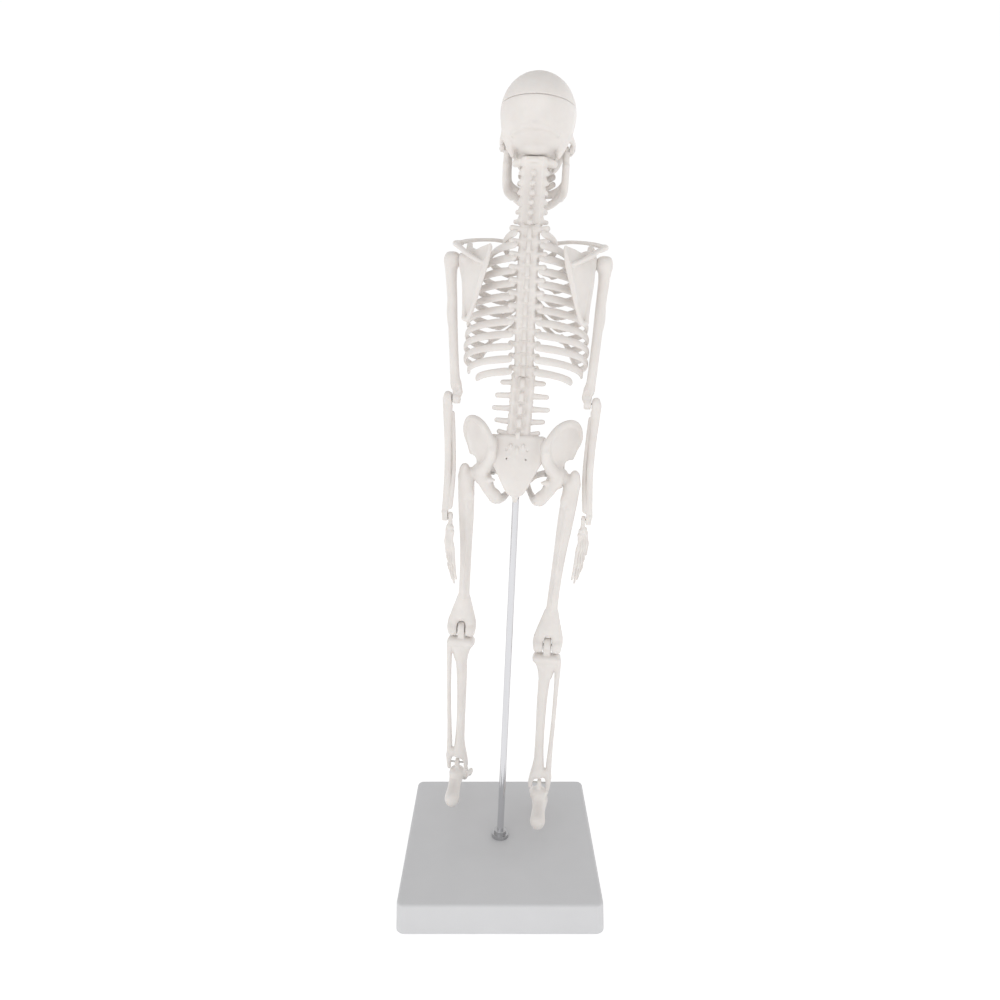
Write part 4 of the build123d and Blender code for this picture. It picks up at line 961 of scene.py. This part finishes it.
def make_femur(side):
    """One thigh bone, slotted at the knee."""
    out = SIDES[side]
    place = PLACES["thigh_" + side]
    shin = PLACES["shin_" + side]
    knee = place.from_row(shin.origin)
    knee_turn = place.turn.T @ shin.turn
    across = knee_turn[:, 0]
    clay = Clay((-15, -8, -111), (15, 10, 8), 0.3)
    clay.egg((0, 0, 0), (5.3, 5.3, 5.3), 0.5)
    clay.curve([(0, 0, 0), (out * 4.0, 0.3, -0.9), (out * 7.6, 0.6, -3.4)], (3.0, 3.1, 4.3), 1.0,
               ((0, 1, 0), 0.9))
    clay.egg((out * 8.8, 1.6, 0.2), (3.0, 3.7, 4.3), 1.6)
    clay.egg((out * 8.4, 2.6, 2.6), (1.9, 2.1, 2.2), 1.2)
    clay.curve([(out * 7.7, 0.8, -4), (out * 7.1, 0.4, -14), (out * 6.3, -0.3, -28), (out * 5.4, -0.8, -46),
                (out * 4.7, -0.7, -66), (out * 4.5, -0.3, -82),
                (out * 4.4, 0, -92)], (4.6, 4.7, 4.4, 3.55, 3.25, 3.5, 4.6), 1.5, ((0, 1, 0), 0.88))
    clay.egg((out * 4.2, 3.0, -12.5), (2.0, 2.0, 3.2), 1.6)
    clay.curve([(out * 6.6, 3.6, -18), (out * 5.4, 2.8, -40), (out * 4.6, 2.4, -66), (out * 4.4, 2.6, -80)],
               (1.1, 0.9, 0.8, 0.6), 1.4)
    for half in (-1, 1):
        clay.curve([knee + across * half * 1.6 + (0, -0.4, 20), knee + across * half * 3.4 + (0, -0.2, 12),
                    knee + across * half * 5.0 + (0, 0, 5)], (2.8, 3.3, 3.6), 1.5, ((0, 1, 0), 0.85))
        side_middle = half * (KNEE_SLOT / 2 + CONDYLE_HALF) / 2
        clay.drum(knee + across * side_middle, across, CONDYLE_RADIUS, (CONDYLE_HALF - KNEE_SLOT / 2) / 2,
                  2.2, 1.4)
        clay.egg(knee + across * half * (CONDYLE_HALF - 1.4) + (0, 0.6, 1.4), (1.9, 2.8, 3.0), 1.4)
    clay.egg(knee + (0, -3.2, 2.6), (4.6, 2.2, 4.6), 1.6)
    clay.egg(knee + (0, -6.2, 0), (1.7, 2.2, 8.0), 1.2, dig=True)
    clay.block(knee + knee_turn @ (0, 0, -7.6), (KNEE_SLOT / 2, 9, 12.6), 2.2, 0.5, knee_turn, dig=True)
    clay.piece(f"femur_{side}_moulding", place, "thigh_" + side, [f"femur_{side}"], BONE)


def make_tibia(side):
    """The tibia and fibula of one leg, forked at the ankle."""
    out = SIDES[side]
    clay = Clay((-11, -7, -98), (11, 7, 6), 0.3)
    clay.drum((0, 0, 0), (1, 0, 0), TONGUE_RADIUS, 2.1, 0.9, 0.6)
    clay.block((0, 0, -4.5), (2.1, 2.8, 3.6), 0.8, 0.8)
    clay.block((0, 0.1, -8.4), (CONDYLE_HALF, 4.6, 2.4), 2.1, 1.0)
    for half in (-1, 1):
        clay.egg((half * 4.9, 0, -5.0), (2.6, 3.0, 1.1), 0.5, dig=True)
        clay.curve([(half * 4.6, 0.3, -8.6), (half * 2.7, 0.2, -13.5), (half * 0.9, 0, -19)],
                   (3.3, 3.0, 3.2), 1.5)
    clay.egg((0, -3.6, -12.4), (1.9, 1.7, 3.6), 1.4)
    clay.curve([(0, 0, -12), (-out * 0.5, 0, -20), (-out * 1.2, 0, -34), (-out * 1.4, 0, -52),
                (-out * 1.3, 0, -68), (-out * 1.0, 0, -80),
                (-out * 1.0, 0, -85)], (4.0, 3.6, 3.1, 2.75, 2.75, 3.3, 3.9), 1.3, ((0, 1, 0), 0.92))
    clay.curve([(-out * 1.6, 0, -78), (-out * 3.6, 0, -86), (-out * 5.2, 0, -91), (-out * 5.5, 0, -94.6)],
               (2.6, 2.5, 1.7, 1.15), 1.4)
    clay.curve([(out * 6.6, 1.2, -9.8), (out * 6.9, 1.4, -15), (out * 6.7, 1.4, -30), (out * 6.3, 1.2, -48),
                (out * 5.6, 0.9, -66), (out * 5.2, 0.5, -80), (out * 5.3, 0.2, -88),
                (out * 5.3, 0, -95.6)], (2.1, 1.75, 1.35, 1.3, 1.4, 1.75, 1.9, 1.15), 0.9)
    clay.curve([(out * 2.6, 0.2, -84), (out * 5.0, 0.2, -87)], (2.6, 2.0), 1.2)
    clay.egg((0, 0, -SHIN - 0.6), (4.0, 6, 5.4), 0.8, dig=True)
    clay.curve([(0, 0, -84), (0, 0, -87.6)], (2.0, 1.5), 0.8)
    clay.block((0, 0, -SHIN - 1.2), (1.42, 6, 5.0), 0.4, 0.3, dig=True)
    clay.piece(f"tibia_fibula_{side}_moulding", PLACES["shin_" + side], "shin_" + side,
               [f"tibia_fibula_{side}"], BONE)


TOES = ((4.7, 33.2, 1.5), (1.7, 34.6, 1.15), (-0.5, 33.4, 1.08), (-2.6, 31.6, 1.02), (-4.6, 29.2, 0.98))


def make_foot(side):
    """One foot: talus, heel, midfoot and toes."""
    out = SIDES[side]
    clay = Clay((-11, -38, -27), (11, 18, 4), 0.3)
    clay.drum((0, 0, 0), (1, 0, 0), 2.3, ANKLE_TAB / 2, 0.4, 0.4)
    clay.block((0, 0, -3.4), (ANKLE_TAB / 2 + 0.1, 1.9, 3.4), 0.5, 0.8)
    clay.egg((0, -0.6, -7.4), (5.0, 5.4, 4.2), 1.2)
    clay.egg((-out * 0.2, -6.6, -11.2), (3.6, 3.6, 3.4), 1.4)
    clay.curve([(out * 0.3, 0.5, -10.5), (out * 0.6, 5.5, -14.0), (out * 0.6, 11.5, -17.6)],
               (4.3, 3.9, 4.5), 1.4)
    clay.egg((out * 0.6, 13.2, -18.4), (4.1, 3.6, 4.5), 1.4)
    clay.curve([(out * 0.8, 10, -20.2), (out * 2.0, -1, -19.2), (out * 3.2, -10.5, -18.6)],
               (2.5, 2.6, 2.6), 1.3)
    for x, y, z, r in ((3.8, -11.4, -16.8, 2.3), (1.2, -12.0, -15.8, 2.2), (-1.4, -12.2, -15.3, 2.2),
                       (-3.9, -11.4, -15.6, 2.4), (-2.4, -9.0, -14.4, 2.9)):
        clay.egg((out * x, y, z), (1.8, r, 1.9), 0.9)
    for x, reach, thick in TOES:
        inward = x * -1.0
        root, ball, tip = inward * 0.72, inward * 1.02, inward * 1.06
        rise = -16.2 + 0.32 * abs(x - 1.0) * -1
        line = [(out * root, -12.5, rise), (out * (root + ball) / 2, -18.5, rise - 1.8),
                (out * ball, -24.8, -21.4),
                (out * ball, -27.2, -22.0), (out * tip, -29.4 + 0.5 * (34.6 - reach), -22.6),
                (out * tip, -reach + 1.4, -23.4), (out * tip, -reach, -23.8)]
        clay.curve(line, [thick * k for k in (1.25, 0.98, 1.3, 0.95, 1.08, 0.95, 0.75)], 0.5)
    clay.piece(f"foot_{side}_moulding", PLACES["foot_" + side], "foot_" + side, [f"foot_{side}"], BONE)


# ---------------------------------------------------------------- skull
CAP_LEVEL = 23.4
CAP_GAP = 0.1
VAULT = (0.0, -2.5, 20.6)
VAULT_RADII = (19.0, 25.0, 19.0)
VAULT_WALL = 1.8
JAW_SEAT = (0.0, -7.0, 6.0)


def brain_case(clay, shrink=0.0, dig=False):
    """The vault: a tall egg over a squarer, narrower base."""
    clay.egg(VAULT, [r - shrink for r in VAULT_RADII], 2.0, dig=dig)
    clay.egg((0, 1.0, 12.6), (17.2 - shrink, 20.6 - shrink, 10.6 - shrink), 3.0, dig=dig)


def arch_points(half, front, back, count, z):
    """Points spread evenly along a parabola that opens to the back."""
    t = np.linspace(-1, 1, 201)
    line = np.column_stack([half * np.sign(t) * np.abs(t) ** 0.9, front + (back - front) * t * t])
    along = np.concatenate([[0], np.cumsum(np.linalg.norm(np.diff(line, axis=0), axis=1))])
    spots = np.interp((np.arange(count) + 0.5) / count * along[-1], along, np.arange(201))
    return [(float(np.interp(s, np.arange(201), line[:, 0])),
             float(np.interp(s, np.arange(201), line[:, 1])), z) for s in spots]


def tooth_row(clay, half, front, back, z, tall):
    """Fourteen teeth: narrow and chisel-like in front, broad behind."""
    for number, (x, y, level) in enumerate(arch_points(half, front, back, 14, z)):
        place = abs(number - 6.5)
        broad = 0.98 + 0.13 * max(place - 2.5, 0)
        angle = math.degrees(math.atan2(x * 1.5, -(y - back) + 2.0))
        long = tall * (1.15 if place == 2.5 else 1.0 - 0.04 * max(place - 3, 0))
        clay.egg((x, y, level), (broad, 0.85 + 0.12 * max(place - 2.5, 0), long), 0.25,
                 turn_matrix(rz=-angle))


def make_cranium():
    """The skull below the cap, with its face and upper teeth."""
    clay = Clay((-21, -34, -9), (21, 25, CAP_LEVEL + 1.5), 0.4)
    brain_case(clay)
    clay.block((0, -20.5, 19.0), (13.6, 5.4, 6.0), 4.0, 3.0)
    clay.egg((0, -22, 10.6), (11.0, 6.5, 10.6), 3.0)
    for out in SIDES.values():
        clay.curve([(out * 1.6, -27.2, 18.0), (out * 6.5, -27.0, 18.8), (out * 11.5, -24.6, 17.7),
                    (out * 13.4, -22.2, 15.4)],
                   (1.5, 1.9, 1.6, 1.5), 1.6)
        clay.curve([(out * 13.4, -22.2, 15.6), (out * 13.7, -22.2, 11.8), (out * 13.5, -23.0, 8.2),
                    (out * 9.4, -25.6, 5.2)],
                   (1.5, 1.45, 2.3, 2.6), 1.4)
        clay.curve([(out * 2.0, -28.4, 15.2), (out * 3.4, -27.8, 9.8), (out * 6.2, -26.8, 7.4)],
                   (1.3, 1.4, 1.5), 1.2)
        clay.egg((out * 7.0, -25.0, 4.0), (5.0, 3.6, 5.6), 2.0)
    clay.curve([(0, -26.8, 17.0), (0, -28.6, 13.8), (0, -30.2, 10.6)], (1.9, 1.7, 1.4), 1.2)
    clay.egg((0, -24.0, 0.0), (8.6, 6.0, 5.0), 2.0)
    clay.egg((0, -20.0, 0.0), (8.4, 8.5, 4.2), 2.0)
    for out in SIDES.values():
        clay.egg((out * 7.4, -27.6, 12.4), (4.7, 8.4, 4.2), 0.9, turn_matrix(ry=-out * 8, rz=out * 14),
                 dig=True)
        clay.egg((out * 6.2, -20.6, 11.6), (2.6, 5.0, 2.4), 0.8, dig=True)
        clay.egg((out * 1.75, -28.6, 4.8), (1.75, 7.0, 3.0), 0.5, turn_matrix(ry=out * 10), dig=True)
        clay.egg((out * 13.8, -15.5, 8.8), (2.6, 6.0, 7.0), 1.6, dig=True)
        clay.egg((out * 11.4, -16.4, 0.5), (4.0, 7.4, 5.4), 1.6, dig=True)
    clay.egg((0, -28.4, 7.4), (1.5, 6.0, 2.4), 0.5, dig=True)
    clay.egg((0, -15.2, -1.0), (6.0, 6.6, 3.6), 1.6, dig=True)
    clay.egg((0, -21.0, -5.6), (6.6, 6.6, 2.6), 1.0, dig=True)
    clay.curve([(0, -30.0, 2.9), (0, -28.0, 2.2)], (0.7, 0.9), 0.8)
    clay.curve([(0, -27.0, 8.4), (0, -26.4, 3.2)], (0.45, 0.45), 0.5)
    for out in SIDES.values():
        clay.curve([(out * 12.8, -23.4, 7.6), (out * 16.4, -20.6, 7.4), (out * 18.2, -15.0, 7.6),
                    (out * 18.5, -8.5, 8.4), (out * 17.6, -2.6, 9.4),
                    (out * 16.4, 2.4, 10.2)], (2.1, 1.55, 1.3, 1.35, 1.6, 1.8), 1.1, ((1, 0, 0), 0.8))
        clay.curve([(out * 13.6, 3.6, 8.8), (out * 12.8, 3.2, 5.0), (out * 11.6, 2.0, 1.2)],
                   (3.9, 2.8, 1.5), 1.4, ((1, 0, 0), 0.8))
        clay.curve([(out * 10.6, -1.6, 4.6), (out * 10.2, -3.2, 1.2), (out * 9.8, -4.4, -1.8)],
                   (1.1, 0.75, 0.5), 0.6)
        clay.egg((out * 17.2, -0.6, 7.0), (3.0, 1.0, 1.0), 0.6, dig=True)
        clay.drum((out * 17.75, JAW_SEAT[1], JAW_SEAT[2] + 0.2), (1, 0, 0), 1.9, 1.3, 0.5, 0.9)
        clay.egg((out * 4.6, -1.2, 1.6), (2.4, 3.6, 1.6), 0.8)
        clay.curve([(out * 9.0, -17.0, 3.0), (out * 8.2, -15.4, -2.6)], (1.2, 0.7), 0.9)
    clay.egg((0, 19.6, 10.4), (3.4, 2.2, 1.6), 1.6)
    for out in SIDES.values():
        clay.curve([(0, 20.2, 10.2), (out * 6.0, 18.6, 9.6), (out * 11.6, 12.8, 7.6)], (0.8, 0.8, 0.6), 1.4)
    clay.egg((0, 1.0, 4.2), (7.4, 9.5, 4.0), 2.0)
    brain_case(clay, VAULT_WALL + 0.1, True)
    clay.egg((0, 1.0, 5.2), (6.6, 8.0, 3.0), 1.6)
    tooth_row(clay, 9.0, -29.2, -15.8, -5.0, 1.9)
    clay.drum((0, 0, 2.0), (0, 0, 1), 1.1, 5.4, 0.1, 0.1, dig=True)
    clay.keep_side((0, 0, CAP_LEVEL), (0, 0, 1), 0.3)
    clay.block((0, 0, -10.0 + 0.35), (8, 12, 10.0), 0.2, 0.3, dig=True)
    clay.piece("cranium_moulding", SKULL, "skull", ["cranium"], BONE)


def make_cap():
    """The cap that lifts off the brain case."""
    clay = Clay((-21, -30, CAP_LEVEL - 1.5), (21, 25, 41.5), 0.38)
    brain_case(clay)
    clay.egg((0, -21, 20.5), (13.6, 5.4, 6.0), 3.0)
    clay.keep_side((0, 0, CAP_LEVEL + CAP_GAP), (0, 0, -1), 0.3)
    clay.egg(VAULT, [r - VAULT_WALL for r in VAULT_RADII], 0.5, dig=True)
    clay.piece("skull_cap_moulding", SKULL, "cap", ["skull_cap"], BONE)


RAMUS_X = 15.1


def make_mandible():
    """The lower jaw and its teeth."""
    clay = Clay((-19, -36, -22), (19, -2, 11), 0.3)
    for out in SIDES.values():
        ramus = [(out * 15.2, -4.9, 5.0), (out * 15.5, -5.6, 0), (out * 15.7, -7.2, -6.5),
                 (out * 15.5, -10.0, -12.4),
                 (out * 14.7, -15.0, -14.4), (out * 13.9, -17.4, -9.0), (out * 14.4, -15.4, -3.0),
                 (out * 14.8, -14.6, 3.6),
                 (out * 14.9, -13.2, 5.6), (out * 15.0, -11.0, 3.4), (out * 15.0, -8.6, 2.8)]
        clay.sheet(ramus, 0.95, 1.0, None, 0.45, 0.6, 5, (out, 0, 0))
        clay.curve([(out * 15.2, -6.4, -1.0), (out * 15.0, JAW_SEAT[1], 4.4)], (1.6, 1.15), 0.8)
        clay.drum((out * RAMUS_X, JAW_SEAT[1], JAW_SEAT[2]), (1, 0, 0), 1.75, 1.15, 0.6, 0.8)
        clay.curve([(out * 15.3, -6.2, -2.0), (out * 15.4, -7.8, -9.0), (out * 15.0, -11.6, -13.4),
                    (out * 13.2, -18.6, -15.0)],
                   (1.7, 1.8, 1.8, 1.7), 1.0)
        clay.curve([(out * 14.2, -16.0, -9.8), (out * 12.0, -21.4, -10.8), (out * 8.8, -26.6, -11.4),
                    (out * 4.6, -29.8, -11.6), (0, -30.8, -11.6)], (2.1, 2.2, 2.1, 2.0, 2.0), 1.2)
        clay.curve([(out * 14.2, -14.6, -13.2), (out * 12.0, -21.0, -14.8), (out * 8.8, -26.8, -16.4),
                    (out * 4.6, -30.2, -17.6), (0, -31.4, -17.9)], (1.7, 1.8, 2.0, 2.1, 2.2), 1.8)
        clay.egg((out * 3.4, -31.2, -17.4), (2.0, 1.5, 1.6), 1.4)
        clay.egg((out * 7.6, -29.6, -13.2), (0.6, 0.9, 0.6), 0.4, dig=True)
    clay.egg((0, -32.0, -16.2), (2.4, 1.4, 2.6), 1.8)
    tooth_row(clay, 9.2, -29.4, -15.8, -8.7, 1.75)
    clay.drum((0, JAW_SEAT[1], JAW_SEAT[2]), (1, 0, 0), 0.65, 20, 0.1, 0.1, dig=True)
    clay.piece("mandible_moulding", SKULL, "jaw", ["mandible"], BONE)


# ---------------------------------------------------------------- all the bones
make_spine()
make_sacrum()
make_symphysis()
make_sternum()
make_cranium()
make_cap()
make_mandible()
for side in SIDES:
    make_ribs(side)
    make_cartilage(side)
    make_clavicle(side)
    make_scapula(side)
    make_hip_bone(side)
    make_humerus(side)
    make_forearm(side)
    make_hand(side)
    make_femur(side)
    make_tibia(side)
    make_foot(side)


# ---------------------------------------------------------------- studio
# Soft lights: name, where it hangs, where it points, its side in metres and its power in watts.
PANELS = (
    ("key_panel", (0.5, 1.1, 0.9), (0, 0, 0.25), 0.9, 1.4),
    ("front_panel", (-0.9, -1.0, 0.9), (0, 0, 0.25), 0.9, 0.9),
    ("top_panel", (0, 0, 1.6), (0, 0, 0), 1.0, 0.5),
)
SKY_BRIGHT, SKY_TOP = 1.02, 0.45
FLOOR_HALF = 6.0
FLOOR_GLOW = 0.42


def area_light(name, spot, target, size, power):
    """A soft square light."""
    data = bpy.data.lights.new(name, "AREA")
    data.shape = "RECTANGLE"
    data.size, data.size_y = size, size
    data.energy = power
    lamp = bpy.data.objects.new(name, data)
    lamp.location = spot
    lamp.rotation_euler = (Vector(target) - Vector(spot)).to_track_quat("-Z", "Y").to_euler()
    bpy.context.scene.collection.objects.link(lamp)


def make_studio():
    """The bright surround, the lights and the floor."""
    world = bpy.data.worlds.new("studio")
    bpy.context.scene.world = world
    world.use_nodes = True
    nodes, links = world.node_tree.nodes, world.node_tree.links
    background = nodes["Background"]
    direction = nodes.new("ShaderNodeTexCoord")
    split = nodes.new("ShaderNodeSeparateXYZ")
    height = nodes.new("ShaderNodeMapRange")
    height.inputs["From Min"].default_value = 0.45
    height.inputs["From Max"].default_value = 0.85
    height.inputs["To Min"].default_value = SKY_BRIGHT
    height.inputs["To Max"].default_value = SKY_TOP
    links.new(direction.outputs["Generated"], split.inputs["Vector"])
    links.new(split.outputs["Z"], height.inputs["Value"])
    links.new(height.outputs["Result"], background.inputs["Strength"])
    background.inputs["Color"].default_value = (1.0, 1.0, 1.0, 1)
    for panel in PANELS:
        area_light(*panel)

    mesh = bpy.data.meshes.new("studio_floor")
    far = FLOOR_HALF
    mesh.from_pydata([(-far, -far, 0), (far, -far, 0), (far, far, 0), (-far, far, 0)], [], [(0, 1, 2, 3)])
    floor = bpy.data.objects.new("studio_floor", mesh)
    bpy.context.scene.collection.objects.link(floor)
    material = bpy.data.materials.new("floor_paint")
    nodes, links, shader = node_tree(material)
    shader.inputs["Base Color"].default_value = (0.9, 0.9, 0.9, 1)
    shader.inputs["Emission Color"].default_value = (1.0, 1.0, 1.0, 1)
    shader.inputs["Emission Strength"].default_value = FLOOR_GLOW
    shader.inputs["Roughness"].default_value = 0.9
    mesh.materials.append(material)


CAMERA_SPOT = (0.0, 0.395, 0.3218)
CAMERA_DROP = 12.7
CAMERA_LENS = 26.1


def make_camera():
    """The camera."""
    data = bpy.data.cameras.new("camera")
    data.lens = CAMERA_LENS
    data.sensor_width = 36.0
    data.clip_start = 0.01
    camera = bpy.data.objects.new("camera", data)
    camera.location = CAMERA_SPOT
    camera.rotation_euler = (math.radians(90 - CAMERA_DROP), 0, math.radians(180))
    bpy.context.scene.collection.objects.link(camera)
    bpy.context.scene.camera = camera


make_studio()
make_camera()
bpy.context.scene.view_settings.view_transform = "Standard"
